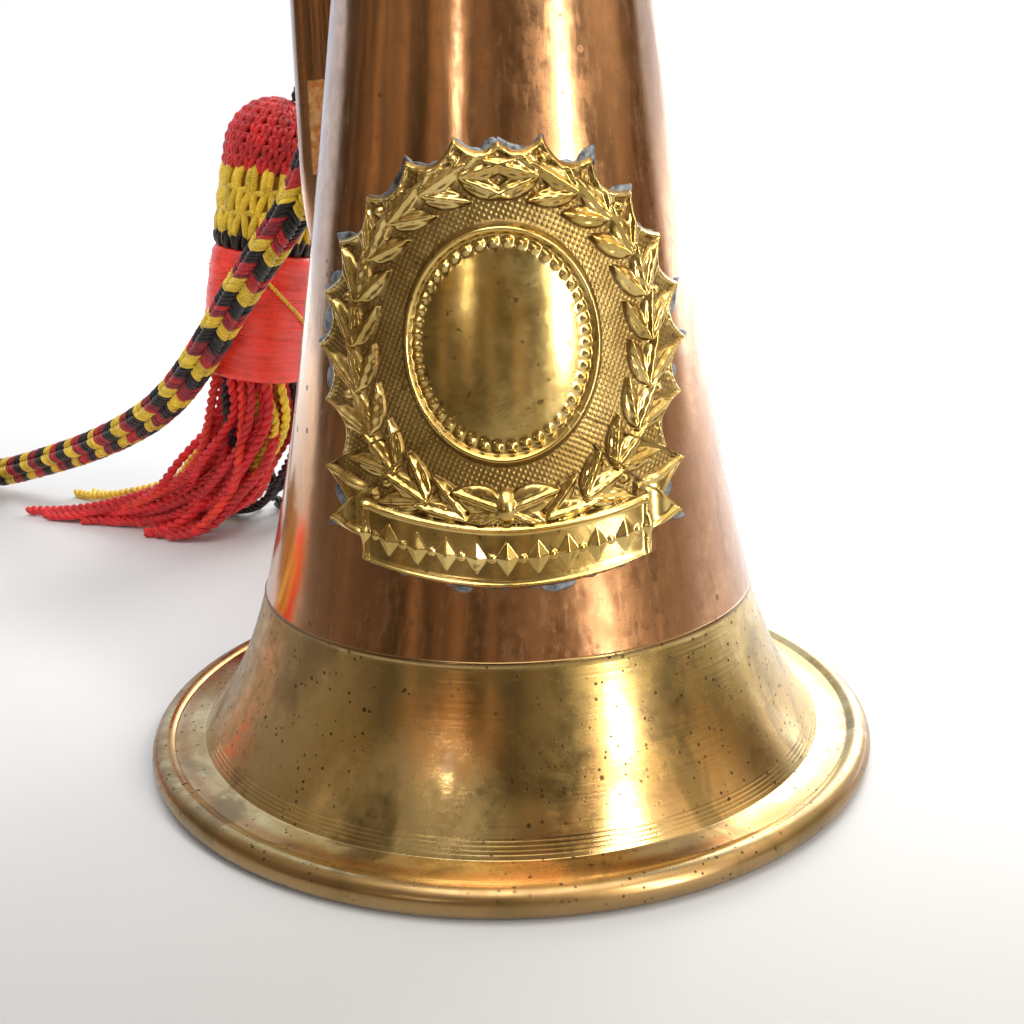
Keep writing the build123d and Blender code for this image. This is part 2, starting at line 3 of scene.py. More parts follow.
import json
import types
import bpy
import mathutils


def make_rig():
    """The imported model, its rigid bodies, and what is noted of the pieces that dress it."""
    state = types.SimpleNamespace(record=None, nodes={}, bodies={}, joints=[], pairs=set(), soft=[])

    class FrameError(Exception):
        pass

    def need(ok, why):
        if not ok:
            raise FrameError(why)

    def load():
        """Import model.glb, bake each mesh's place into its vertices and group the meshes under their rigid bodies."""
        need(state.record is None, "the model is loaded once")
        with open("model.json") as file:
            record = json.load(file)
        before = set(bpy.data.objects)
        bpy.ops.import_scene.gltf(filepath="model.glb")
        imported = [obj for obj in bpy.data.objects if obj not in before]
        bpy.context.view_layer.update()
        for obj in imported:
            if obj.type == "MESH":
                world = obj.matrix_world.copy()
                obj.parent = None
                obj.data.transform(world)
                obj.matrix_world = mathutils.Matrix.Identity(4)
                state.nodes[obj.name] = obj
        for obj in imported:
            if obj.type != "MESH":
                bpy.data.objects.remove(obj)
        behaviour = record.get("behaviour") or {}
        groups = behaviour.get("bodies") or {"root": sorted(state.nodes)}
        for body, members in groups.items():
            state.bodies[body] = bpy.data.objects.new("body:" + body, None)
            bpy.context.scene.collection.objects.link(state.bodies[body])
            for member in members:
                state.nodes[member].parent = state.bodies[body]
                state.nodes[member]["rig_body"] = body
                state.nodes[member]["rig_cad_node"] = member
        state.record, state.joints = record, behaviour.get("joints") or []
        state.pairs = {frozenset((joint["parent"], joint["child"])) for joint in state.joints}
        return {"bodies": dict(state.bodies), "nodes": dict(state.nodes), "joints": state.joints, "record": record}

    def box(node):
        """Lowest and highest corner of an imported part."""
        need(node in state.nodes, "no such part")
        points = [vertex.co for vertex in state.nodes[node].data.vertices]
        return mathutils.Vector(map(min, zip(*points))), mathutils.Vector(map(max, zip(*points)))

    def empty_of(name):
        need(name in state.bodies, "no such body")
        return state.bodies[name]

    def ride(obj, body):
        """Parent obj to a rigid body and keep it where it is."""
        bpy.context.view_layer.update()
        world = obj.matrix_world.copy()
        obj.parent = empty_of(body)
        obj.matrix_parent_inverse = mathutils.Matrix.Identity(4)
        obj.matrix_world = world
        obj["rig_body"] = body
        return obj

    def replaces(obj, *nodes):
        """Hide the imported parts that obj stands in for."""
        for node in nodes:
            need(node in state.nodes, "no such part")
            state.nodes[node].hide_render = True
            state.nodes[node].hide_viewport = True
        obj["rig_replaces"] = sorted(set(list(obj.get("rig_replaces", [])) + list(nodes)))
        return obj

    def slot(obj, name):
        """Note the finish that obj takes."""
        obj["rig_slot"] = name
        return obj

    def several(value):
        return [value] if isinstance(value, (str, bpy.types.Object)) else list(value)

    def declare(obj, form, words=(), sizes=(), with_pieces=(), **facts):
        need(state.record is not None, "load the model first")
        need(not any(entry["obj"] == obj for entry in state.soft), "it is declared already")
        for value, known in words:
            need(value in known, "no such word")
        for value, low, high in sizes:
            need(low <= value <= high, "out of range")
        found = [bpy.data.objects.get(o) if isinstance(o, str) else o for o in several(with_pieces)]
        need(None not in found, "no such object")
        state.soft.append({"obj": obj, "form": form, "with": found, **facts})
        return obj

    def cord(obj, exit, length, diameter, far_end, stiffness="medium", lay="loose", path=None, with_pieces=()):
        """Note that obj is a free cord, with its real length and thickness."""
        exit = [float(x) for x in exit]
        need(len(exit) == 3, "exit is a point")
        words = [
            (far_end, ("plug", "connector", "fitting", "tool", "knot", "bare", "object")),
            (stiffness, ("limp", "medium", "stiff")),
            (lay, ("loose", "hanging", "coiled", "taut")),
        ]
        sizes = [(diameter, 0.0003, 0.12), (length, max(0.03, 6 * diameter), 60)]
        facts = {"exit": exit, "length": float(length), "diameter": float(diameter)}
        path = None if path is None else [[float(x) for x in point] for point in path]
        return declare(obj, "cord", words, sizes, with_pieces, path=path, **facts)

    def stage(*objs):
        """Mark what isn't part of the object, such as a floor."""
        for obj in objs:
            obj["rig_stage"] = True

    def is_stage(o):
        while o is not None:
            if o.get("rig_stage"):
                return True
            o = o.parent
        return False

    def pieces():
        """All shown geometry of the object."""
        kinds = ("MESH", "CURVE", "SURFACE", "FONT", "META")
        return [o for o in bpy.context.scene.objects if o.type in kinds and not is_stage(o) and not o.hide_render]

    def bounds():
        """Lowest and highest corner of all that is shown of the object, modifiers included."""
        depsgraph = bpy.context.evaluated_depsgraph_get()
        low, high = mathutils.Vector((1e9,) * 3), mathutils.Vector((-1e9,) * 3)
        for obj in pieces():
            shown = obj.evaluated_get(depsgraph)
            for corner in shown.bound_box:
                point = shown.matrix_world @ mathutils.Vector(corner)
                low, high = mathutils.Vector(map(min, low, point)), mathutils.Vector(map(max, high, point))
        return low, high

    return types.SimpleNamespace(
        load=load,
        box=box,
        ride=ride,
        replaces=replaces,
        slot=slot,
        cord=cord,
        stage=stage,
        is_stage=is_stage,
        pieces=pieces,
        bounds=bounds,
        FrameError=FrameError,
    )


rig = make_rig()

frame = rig.load()
cad_low, cad_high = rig.bounds()

import json
import math
import random

import bpy
import numpy as np
from mathutils import Quaternion, Vector

MM = 0.001
TURN = 2 * math.pi


def link(thing):
    """Puts a new object into the scene."""
    bpy.context.scene.collection.objects.link(thing)
    return thing


def keep(piece, slot, *nodes):
    """A fixed piece: it rides on the root, has its slot, and stands in for these CAD nodes."""
    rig.ride(piece, "root")
    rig.slot(piece, slot)
    if nodes:
        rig.replaces(piece, *nodes)
    return piece


def facing(azimuth, elevation):
    """A direction from the bell. Azimuth 0 is in front of the badge, and 90 on +X."""
    a, e = math.radians(azimuth), math.radians(elevation)
    return Vector((math.sin(a) * math.cos(e), -math.cos(a) * math.cos(e), math.sin(e)))


# ---- camera -----------------------------------------------------------------------------------
def make_camera():
    """A normal lens at half the bugle's height, close in front of the badge, looking a little down."""
    data = bpy.data.cameras.new("camera")
    data.sensor_width = 36.0
    data.lens = 42.19
    data.clip_start = 0.01
    camera = link(bpy.data.objects.new("camera", data))
    yaw, pitch, roll = 0.005, 0.278, -0.022
    look = Vector((math.sin(yaw) * math.cos(pitch), math.cos(yaw) * math.cos(pitch), -math.sin(pitch)))
    camera.location = (0.0, -0.2042, 0.0981)
    camera.rotation_mode = "QUATERNION"
    camera.rotation_quaternion = look.to_track_quat("-Z", "Y") @ Quaternion((0, 0, 1), roll)
    bpy.context.scene.camera = camera


make_camera()


# ---- material graphs ----------------------------------------------------------------------------
class Graph:
    """A short way to write the nodes of a material, or of the world, with its own coordinates."""

    def __init__(self, block, shader, coordinates):
        self.block = block
        block.use_nodes = True
        self.tree = block.node_tree
        self.shader = self.tree.nodes[shader]
        self.place = self.node("TexCoord").outputs[coordinates]

    def node(self, kind, **settings):
        made = self.tree.nodes.new("ShaderNode" + kind)
        for key, value in settings.items():
            setattr(made, key, value)
        return made

    def put(self, socket, value):
        """Links a socket, or sets a plain value."""
        if isinstance(value, bpy.types.NodeSocket):
            self.tree.links.new(value, socket)
        else:
            socket.default_value = value

    def stretch(self, scale):
        made = self.node("Mapping")
        self.put(made.inputs["Vector"], self.place)
        made.inputs["Scale"].default_value = scale
        return made.outputs["Vector"]

    def noise(self, scale, detail=3.0, rough=0.55, distort=0.0, vector=None):
        made = self.node("TexNoise")
        self.put(made.inputs["Vector"], vector or self.place)
        made.inputs["Scale"].default_value = scale
        made.inputs["Detail"].default_value = detail
        made.inputs["Roughness"].default_value = rough
        made.inputs["Distortion"].default_value = distort
        return made.outputs["Fac"]

    def dots(self, scale, size, share):
        """Round spots, 1 inside. size is a share of the spacing, and share how many places have one."""
        made = self.node("TexVoronoi")
        self.put(made.inputs["Vector"], self.place)
        made.inputs["Scale"].default_value = scale
        pick = self.node("SeparateColor")
        self.put(pick.inputs[0], made.outputs["Color"])
        reach = self.range(pick.outputs["Red"], 1 - share, 1.0, 0.0, size)
        ragged = self.times(self.noise(scale * 4, 2, 0.5), size * 0.5)
        gap = self.math("SUBTRACT", self.plus(made.outputs["Distance"], ragged), reach)
        return self.range(gap, -0.02, 0.05, 1.0, 0.0)

    def math(self, operation, a, b=0.0):
        made = self.node("Math", operation=operation)
        self.put(made.inputs[0], a)
        self.put(made.inputs[1], b)
        return made.outputs[0]

    def times(self, a, b):
        return self.math("MULTIPLY", a, b)

    def plus(self, a, b):
        return self.math("ADD", a, b)

    def range(self, value, low, high, to_low=0.0, to_high=1.0):
        made = self.node("MapRange", interpolation_type="SMOOTHSTEP")
        self.put(made.inputs["Value"], value)
        for key, number in (("From Min", low), ("From Max", high), ("To Min", to_low), ("To Max", to_high)):
            made.inputs[key].default_value = number
        return made.outputs["Result"]

    def mix(self, share, a, b, blend="MIX"):
        made = self.node("Mix", data_type="RGBA", blend_type=blend)
        self.put(made.inputs["Factor"], share)
        for socket, value in ((made.inputs[6], a), (made.inputs[7], b)):
            self.put(socket, (*value, 1.0) if isinstance(value, tuple) else value)
        return made.outputs[2]

    def over(self, colour, share, weight, paint):
        """Lays a second colour over the first, where share says, at most by weight."""
        return self.mix(self.times(share, weight), colour, paint)

    def attribute(self, name):
        return self.node("Attribute", attribute_name=name)

    def axis(self, letter):
        made = self.node("SeparateXYZ")
        self.put(made.inputs[0], self.place)
        return made.outputs[letter]

    def near(self, point, inner, outer):
        """1 within the inner distance of a point, 0 beyond the outer one."""
        made = self.node("VectorMath", operation="DISTANCE")
        self.put(made.inputs[0], self.place)
        made.inputs[1].default_value = point
        return self.range(made.outputs["Value"], inner, outer, 1.0, 0.0)

    def radius(self):
        """Distance from the bell's axis."""
        flat = self.node("VectorMath", operation="MULTIPLY")
        self.put(flat.inputs[0], self.place)
        flat.inputs[1].default_value = (1, 1, 0)
        length = self.node("VectorMath", operation="LENGTH")
        self.put(length.inputs[0], flat.outputs[0])
        return length.outputs["Value"]

    def bump(self, height, strength, distance, under=None):
        made = self.node("Bump")
        made.inputs["Strength"].default_value = strength
        made.inputs["Distance"].default_value = distance
        self.put(made.inputs["Height"], height)
        if under is not None:
            self.put(made.inputs["Normal"], under)
        return made.outputs["Normal"]

    def finish(self, colour, rough, normal=None, **constants):
        self.put(self.shader.inputs["Base Color"], colour if not isinstance(colour, tuple) else (*colour, 1))
        self.put(self.shader.inputs["Roughness"], rough)
        if normal is not None:
            self.put(self.shader.inputs["Normal"], normal)
        for key, value in constants.items():
            self.shader.inputs[key.replace("_", " ")].default_value = value
        return self.block


def surface(name):
    """A new material. Texture scales are in metres of the object's own frame."""
    return Graph(bpy.data.materials.new(name), "Principled BSDF", "Object")


def varnish(weight):
    """A thin clear lacquer over metal."""
    return {"Coat Weight": weight, "Coat Roughness": 0.12, "Coat IOR": 1.5}


# where the copper of the narrow lower bow lies bare
PATCH_LOW, PATCH_HIGH, PATCH_SIDE = 97.9 * MM, 114.6 * MM, -34.7 * MM


def old_metal(
    name, bright, dull, dark, stain, rough=0.2, turned=0.0, pits=0.5, streaks=0.5, lacquer=0.2, patch=False
):
    """Handled sheet metal: smeared tarnish, upright streaks, pits, fine scratches and turning lines."""
    g = surface(name)
    smear = g.noise(34, 5, 0.6, 0.6, g.stretch((1, 1, 0.32)))
    fine = g.noise(260, 5, 0.7, 0.3)
    cloud = g.noise(13, 3, 0.5, 0.3)
    share = g.plus(g.times(smear, 0.65), g.times(fine, 0.35))
    tarnish = g.range(share, 0.40, 0.62)
    colour = g.mix(tarnish, bright, dull)
    colour = g.mix(g.range(cloud, 0.48, 0.70, 0, 0.8), colour, stain)
    streak = g.noise(150, 3, 0.6, 0.0, g.stretch((1, 1, 0.07)))
    colour = g.mix(g.range(streak, 0.54, 0.72, 0, streaks), colour, dark)
    pit = g.math("MAXIMUM", g.dots(420, 0.30, 0.30), g.dots(150, 0.14, 0.16))
    pit = g.times(pit, g.range(g.noise(45, 2), 0.40, 0.62))
    colour = g.over(colour, pit, pits, dark)
    lines = g.noise(1.0, 2, 0.5, 0, g.stretch((6, 6, 2600)))
    scratch = g.noise(1.0, 3, 0.6, 0.2, g.stretch((900, 900, 60)))
    gloss = g.plus(g.range(tarnish, 0, 1, rough, rough + 0.15), g.times(pit, 0.3))
    gloss = g.plus(gloss, g.range(scratch, 0.45, 0.7, 0.0, 0.07))
    normal = g.bump(g.noise(26, 2, 0.4, 0.3, g.stretch((1, 1, 0.6))), 0.55, 0.0009)
    normal = g.bump(g.plus(scratch, g.times(fine, 0.8)), 0.08, 0.00010, normal)
    if turned:
        normal = g.bump(lines, turned, 0.0001, normal)
    normal = g.bump(g.math("SUBTRACT", 1.0, pit), 0.10, 0.00006, normal)
    if patch:
        bare = g.times(
            g.range(g.axis("Z"), PATCH_LOW, PATCH_LOW + 0.5 * MM),
            g.range(g.axis("Z"), PATCH_HIGH, PATCH_HIGH - 0.6 * MM),
        )
        bare = g.times(bare, g.range(g.axis("X"), PATCH_SIDE, PATCH_SIDE + 0.4 * MM))
        grain = g.noise(620, 4, 0.65)
        bared = g.mix(g.range(grain, 0.35, 0.65), (0.80, 0.36, 0.11), (1.0, 0.68, 0.34))
        colour = g.mix(bare, colour, bared)
        gloss = g.plus(gloss, g.times(bare, 0.42))
        normal = g.bump(g.times(grain, bare), 0.8, 0.0005, normal)
    return g.finish(colour, gloss, normal, Metallic=1.0, **varnish(lacquer))


def copper(name, patch=False):
    return old_metal(
        name, (0.60, 0.315, 0.145), (0.40, 0.190, 0.078), (0.085, 0.040, 0.018), (0.50, 0.185, 0.060),
        rough=0.15, streaks=0.50, pits=0.7, lacquer=0.7, patch=patch,
    )


def brass(name, rough=0.2, turned=0.0, pits=0.6):
    return old_metal(
        name, (0.74, 0.55, 0.24), (0.52, 0.345, 0.115), (0.13, 0.075, 0.028), (0.46, 0.25, 0.08),
        rough=rough, turned=turned, pits=pits, streaks=0.3,
    )


def rough_web():
    """The sheet between two tubes, hammered and never polished."""
    g = surface("rough_copper_web")
    grain = g.noise(520, 4, 0.65)
    colour = g.mix(g.range(grain, 0.35, 0.65), (0.52, 0.24, 0.075), (0.80, 0.47, 0.19))
    return g.finish(colour, 0.5, g.bump(grain, 0.9, 0.0006), Metallic=0.85)


def solder():
    g = surface("grey_solder")
    grain = g.noise(500, 4, 0.6)
    colour = g.mix(g.range(grain, 0.35, 0.65), (0.06, 0.065, 0.075), (0.30, 0.32, 0.34))
    return g.finish(colour, g.range(grain, 0.3, 0.7, 0.35, 0.6), g.bump(grain, 0.8, 0.0004), Metallic=0.75)


def iron():
    g = surface("rim_iron")
    grain = g.noise(400, 4, 0.6)
    colour = g.mix(grain, (0.10, 0.09, 0.085), (0.30, 0.24, 0.20))
    return g.finish(colour, 0.5, g.bump(grain, 0.4, 0.0002), Metallic=0.9)


def wood():
    g = surface("turned_wood")
    grain = g.noise(120, 5, 0.6, 1.0, g.stretch((1, 1, 0.15)))
    colour = g.mix(grain, (0.25, 0.13, 0.06), (0.50, 0.31, 0.16))
    return g.finish(colour, 0.55, g.bump(grain, 0.3, 0.0002))


def thread(name, shine=0.4, fibre=2600, grain=0.55, sheen=0.25, gloss=0.45, dark=0.62):
    """Twisted rayon or wool yarn. Each point's own tint gives the colour."""
    g = surface(name)
    tint = g.attribute("tint").outputs["Color"]
    fibres = g.noise(fibre, 3, 0.7)
    patch = g.noise(260, 2, 0.5)
    shade = g.plus(g.range(fibres, 0.3, 0.7, dark, 1.12), g.range(patch, 0.3, 0.7, -0.12, 0.12))
    grey = g.node("CombineColor")
    for key in ("Red", "Green", "Blue"):
        g.put(grey.inputs[key], shade)
    colour = g.mix(1.0, tint, grey.outputs[0], "MULTIPLY")
    normal = g.bump(fibres, grain, 0.0003)
    return g.finish(
        colour, g.range(fibres, 0.3, 0.7, 0.62 - shine * 0.5, 0.80 - shine * 0.4), normal,
        **{"Sheen Weight": sheen, "Sheen Roughness": 0.4, "Specular IOR Level": gloss},
    )


RED = (0.80, 0.016, 0.020)
SCARLET = (1.0, 0.045, 0.022)
MAROON = (0.33, 0.014, 0.028)
YELLOW = (1.0, 0.70, 0.038)
BLACK = (0.010, 0.009, 0.011)


# ---- mesh building ------------------------------------------------------------------------------
def quads_of(index):
    """The faces between the rows of a grid whose last column joins its first."""
    both = np.hstack([index, index[:, :1]])
    return np.stack([both[:-1, :-1], both[:-1, 1:], both[1:, 1:], both[1:, :-1]], axis=-1).reshape(-1, 4)


class Batch:
    """Gathers grids of points into one mesh, with a tint for each point."""

    def __init__(self):
        self.points, self.faces, self.tints = [], [], []
        self.count = 0

    def grid(self, rows, tint, ring=False):
        """rows is n x m x 3, closed round its columns. ring joins its ends, which caps close otherwise."""
        n, m = rows.shape[:2]
        index = np.arange(n * m).reshape(n, m) + self.count
        self.faces += quads_of(np.vstack([index, index[:1]]) if ring else index).tolist()
        if not ring:
            self.faces += [index[0][::-1].tolist(), index[-1].tolist()]
        self.points.append(rows.reshape(-1, 3))
        self.tints.append(np.broadcast_to(np.asarray(tint, float), (n, m, 3)).reshape(-1, 3))
        self.count += n * m

    def many(self, rows, tints):
        """Closed tubes of one size at once: rows is tube x n x m x 3, with one tint for each tube."""
        tubes, n, m = rows.shape[:3]
        index = np.arange(n * m).reshape(n, m)
        shift = np.arange(tubes)[:, None, None] * n * m + self.count
        self.faces += (quads_of(index)[None] + shift).reshape(-1, 4).tolist()
        caps = np.stack([index[0][::-1], index[-1]])
        self.faces += (caps[None] + shift).reshape(-1, m).tolist()
        self.points.append(rows.reshape(-1, 3))
        self.tints.append(np.repeat(tints, n * m, axis=0))
        self.count += tubes * n * m

    def make(self, name, material):
        points = np.vstack(self.points)
        points[:, 2] = np.maximum(points[:, 2], 0.0)
        mesh = bpy.data.meshes.new(name)
        mesh.from_pydata(points.tolist(), [], self.faces)
        tint = mesh.attributes.new("tint", "FLOAT_COLOR", "POINT")
        colours = np.hstack([np.vstack(self.tints), np.ones((len(points), 1))])
        tint.data.foreach_set("color", colours.astype(np.float32).ravel())
        mesh.polygons.foreach_set("use_smooth", [True] * len(mesh.polygons))
        mesh.materials.append(material)
        mesh.update()
        return link(bpy.data.objects.new(name, mesh))


def round_axis(radius, angle, height):
    """Points given by their distance from the Z axis, their angle and their height."""
    return np.stack([radius * np.cos(angle), radius * np.sin(angle), height], axis=-1)


def along(points, step):
    """The same line with evenly spaced points."""
    points = np.asarray(points, float)
    gone = np.concatenate([[0], np.cumsum(np.linalg.norm(np.diff(points, axis=0), axis=1))])
    count = max(2, int(round(gone[-1] / step)) + 1)
    even = np.linspace(0, gone[-1], count)
    return np.stack([np.interp(even, gone, points[:, k]) for k in range(3)], axis=1), even


def sides_of(path):
    """Two directions across a line at each point, carried along it without twist."""
    tangent = np.gradient(path, axis=0)
    tangent /= np.linalg.norm(tangent, axis=1)[:, None]
    first = np.cross(tangent[0], (0, 0, 1.0))
    if np.linalg.norm(first) < 0.1:
        first = np.cross(tangent[0], (1.0, 0, 0))
    across = [first / np.linalg.norm(first)]
    for t in tangent[1:]:
        a = across[-1] - t * (across[-1] @ t)
        across.append(a / np.linalg.norm(a))
    across = np.array(across)
    return across, np.cross(tangent, across)


def tube_rows(path, radius, sides):
    """Rings of points round a line. radius is a number or one for each point of the line."""
    a, b = sides_of(path)
    turn = np.linspace(0, TURN, sides, endpoint=False)
    radius = np.broadcast_to(np.asarray(radius, float), (len(path),))[:, None, None]
    ring = np.cos(turn)[None, :, None] * a[:, None] + np.sin(turn)[None, :, None] * b[:, None]
    return path[:, None] + radius * ring


def yarn(batch, points, radius, tint, pitch, plies=2, sides=7, step=None, start=0.0):
    """A twisted yarn: plies that wind round one line."""
    path, gone = along(points, step or pitch / 9)
    a, b = sides_of(path)
    ply = radius * (0.56 if plies == 2 else 0.5)
    for k in range(plies):
        angle = start + TURN * (gone / pitch + k / plies)
        line = path + (radius - ply) * (np.cos(angle)[:, None] * a + np.sin(angle)[:, None] * b)
        width = np.full(len(line), ply)
        width[0] = width[-1] = ply * 0.45
        batch.grid(tube_rows(line, width, sides), tint)


def smooth_line(points):
    """Points read from the NURBS spline that has these as its control points."""
    data = bpy.data.curves.new("route", "CURVE")
    data.dimensions = "3D"
    data.resolution_u = 16
    spline = data.splines.new("NURBS")
    spline.points.add(len(points) - 1)
    for point, place in zip(spline.points, points):
        point.co = (*place, 1.0)
    spline.order_u = 3
    spline.use_endpoint_u = True
    route = bpy.data.objects.new("route", data)
    mesh = bpy.data.meshes.new_from_object(route)
    line = np.array([v.co for v in mesh.vertices], float)
    bpy.data.objects.remove(route)
    bpy.data.meshes.remove(mesh)
    return line


def length_of(line):
    return float(np.linalg.norm(np.diff(line, axis=0), axis=1).sum())


# ---- dress cord ---------------------------------------------------------------------------------
CORD = 9.0 * MM
cord_thread = thread("cord_yarn", shine=0.5, grain=0.35, gloss=0.55)


def braid(batch, line, diameter, seed):
    """A braided cord: a dark core under columns of slanted stitches, coloured in bands along the cord."""
    rng = np.random.default_rng(seed)
    path, gone = along(line, 0.8 * MM)
    a, b = sides_of(path)
    batch.grid(tube_rows(path, diameter / 2 - 1.0 * MM, 16), BLACK)
    columns, spacing, thick, band_length = 6, 1.27 * MM, 0.68 * MM, 4.6 * MM
    t = np.linspace(0, 1, 7)
    lift = np.array([-0.95, -0.25, 0.05, 0.13, 0.05, -0.25, -0.95]) * MM
    width = thick * np.array([0.6, 0.95, 1, 1, 1, 0.95, 0.6])
    ring = np.linspace(0, TURN, 6, endpoint=False)
    slants = (5.0 * MM, 3.2 * MM)
    starts = np.arange(-slants[0], gone[-1], spacing)
    colours = np.array([BLACK, MAROON, YELLOW])
    for column in range(columns):
        odd = column % 2
        slant = slants[odd]
        first = starts + odd * (slants[0] - slant) + rng.uniform(-0.16, 0.16, len(starts)) * MM
        s = np.clip(first[:, None] + slant * (1 - t if odd else t), 0, gone[-1])
        v = TURN * (column - 0.03 + 1.06 * t) / columns + rng.uniform(-0.02, 0.02, (len(starts), 1))
        out, centre, up = (
            np.stack([np.interp(s, gone, grid[:, k]) for k in range(3)], axis=-1) for grid in (a, path, b)
        )
        normal = np.cos(v)[..., None] * out + np.sin(v)[..., None] * up
        high = diameter / 2 - thick * 0.9 + lift + rng.uniform(-0.12, 0.10, (len(starts), 1)) * MM
        middle = centre + high[..., None] * normal
        heading = np.gradient(middle, axis=1)
        side = np.cross(heading, normal)
        side /= np.linalg.norm(side, axis=-1, keepdims=True) + 1e-12
        turn = np.cos(ring)[:, None] * 0.9 * normal[:, :, None] + np.sin(ring)[:, None] * side[:, :, None]
        rows = middle[:, :, None] + width[:, None, None] * turn
        band = (starts + slants[0]) / band_length + rng.uniform(-0.13, 0.13, len(starts))
        band = np.floor(band).astype(int) % len(colours)
        tint = colours[band] * rng.uniform(0.8, 1.15, (len(starts), 1))
        pink = (band == 1) & (rng.random(len(starts)) < 0.45)
        tint[pink] = np.array(RED) * 0.8
        whole = np.linalg.norm(middle[:, -1] - middle[:, 0], axis=-1) > 2 * MM
        batch.many(rows[whole], tint[whole])


# from the lashing's lowest turn, in front of the standing tassel, down to the table and the coil
cord_route = [
    (-0.0376, 0.0815, 0.1280),
    (-0.0376, 0.0815, 0.1115),
    (-0.0455, 0.0820, 0.0925),
    (-0.0565, 0.0880, 0.0795),
    (-0.0665, 0.0960, 0.0675),
    (-0.0765, 0.1030, 0.0540),
    (-0.0910, 0.1140, 0.0385),
    (-0.1130, 0.1325, 0.0260),
    (-0.1390, 0.1545, 0.0155),
    (-0.1630, 0.1740, 0.0070),
    (-0.1860, 0.1875, 0.0045),
]

# from the coil's side, down in front of it and into the loose tassel
tail_route = [
    (-0.2652, 0.1135, 0.0104),
    (-0.2653, 0.1020, 0.0086),
    (-0.2633, 0.0905, 0.0082),
    (-0.2588, 0.0802, 0.0096),
    (-0.2518, 0.0723, 0.0118),
    (-0.2424, 0.0683, 0.0138),
    (-0.2323, 0.06704, 0.0146),
]


def coil_turns():
    """One outer and one inner turn on the table, then half a turn on top of both, anticlockwise."""
    low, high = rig.box("cord_coil")
    centre = (low + high) / 2
    outer, inner, middle = 51.9 * MM, 42.9 * MM, 47.4 * MM
    start, turn_in, climb_from, stop, points_per_turn = 75, 345, 640, 820, 20
    points = []
    for step in range(int((stop - start) / 360 * points_per_turn) + 1):
        turned = start + step * 360 / points_per_turn
        inwards = min(max((turned - turn_in) / 60, 0), 1)
        climb = min(max((turned - climb_from) / 55, 0), 1)
        radius = outer + (inner - outer) * inwards
        radius += (middle - inner) * max(0, climb * 1.6 - 0.6)
        height = CORD / 2 + 8.2 * MM * min(1, climb * 1.35)
        angle = math.radians(turned)
        points.append((centre.x + radius * math.cos(angle), centre.y + radius * math.sin(angle), height))
    return points


def make_cord():
    line, _ = along(smooth_line(cord_route + coil_turns() + tail_route), 0.42 * MM)
    batch = Batch()
    braid(batch, line, CORD, 1)
    piece = batch.make("dress_cord", cord_thread)
    return keep(piece, "cord_braid", "cord_run", "cord_coil", "cord_tail"), line


def make_lashing():
    """Three turns of the same cord round the two tubes behind the bell."""
    low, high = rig.box("cord_lashing")
    ends = []
    for node in ("rear_tube_small", "rear_tube_large"):
        a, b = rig.box(node)
        ends.append(((a + b) / 2, (b.x - a.x) / 2 + CORD / 2 + 0.2 * MM))
    (first, first_r), (last, last_r) = ends
    away = Vector((last.x - first.x, last.y - first.y))
    heading = math.atan2(away.y, away.x)
    lean = math.acos((first_r - last_r) / away.length)
    loop = []
    for centre, radius, start, sweep in (
        (last, last_r, heading - lean, 2 * lean),
        (first, first_r, heading + lean, TURN - 2 * lean),
    ):
        for k in range(13):
            angle = start + sweep * k / 12
            loop.append((centre.x + radius * math.cos(angle), centre.y + radius * math.sin(angle)))
    turns = round((high.z - low.z) / CORD)
    flat, _ = along([(x, y, 0) for x, y in loop + loop[:1]], 2.5 * MM)
    flat = flat[:-1]
    path = np.vstack([flat] * turns)
    rise = np.linspace(0, 1, len(path))
    path[:, 2] = low.z + CORD / 2 + rise * (high.z - low.z - CORD)
    batch = Batch()
    braid(batch, path, CORD, 2)
    return keep(batch.make("cord_lashing_turns", cord_thread), "cord_braid", "cord_lashing")


dress_cord, dress_line = make_cord()
make_lashing()


# ---- tassels ------------------------------------------------------------------------------------
GOLDEN = 2.39996  # radians between neighbours, which spreads strands evenly over a disc
HEAD_R = 13.8 * MM
NECK_SHARE = 0.47  # part of a tassel's height below its head
crochet_thread = thread("crochet_yarn", shine=0.6, gloss=0.6, grain=0.4)
silk = thread("whipping_silk", shine=0.75, fibre=1500, grain=0.15, sheen=0.1, gloss=0.9, dark=0.97)
strand_thread = thread("tassel_yarn", shine=0.6, gloss=0.6, grain=0.4)

# from the lashing to the crown of the standing tassel, on the side nearer the bugle
tassel_cord_route = [
    (-0.0414, 0.0900, 0.1360),
    (-0.0418, 0.0965, 0.1352),
    (-0.0428, 0.1036, 0.1328),
    (-0.0446, 0.1104, 0.1290),
    (-0.0470, 0.1159, 0.1242),
    (-0.05118, 0.11867, 0.11612),
]
tassel_top = (-0.0554, 0.1190, 0.1170)  # the middle of the standing tassel's crown


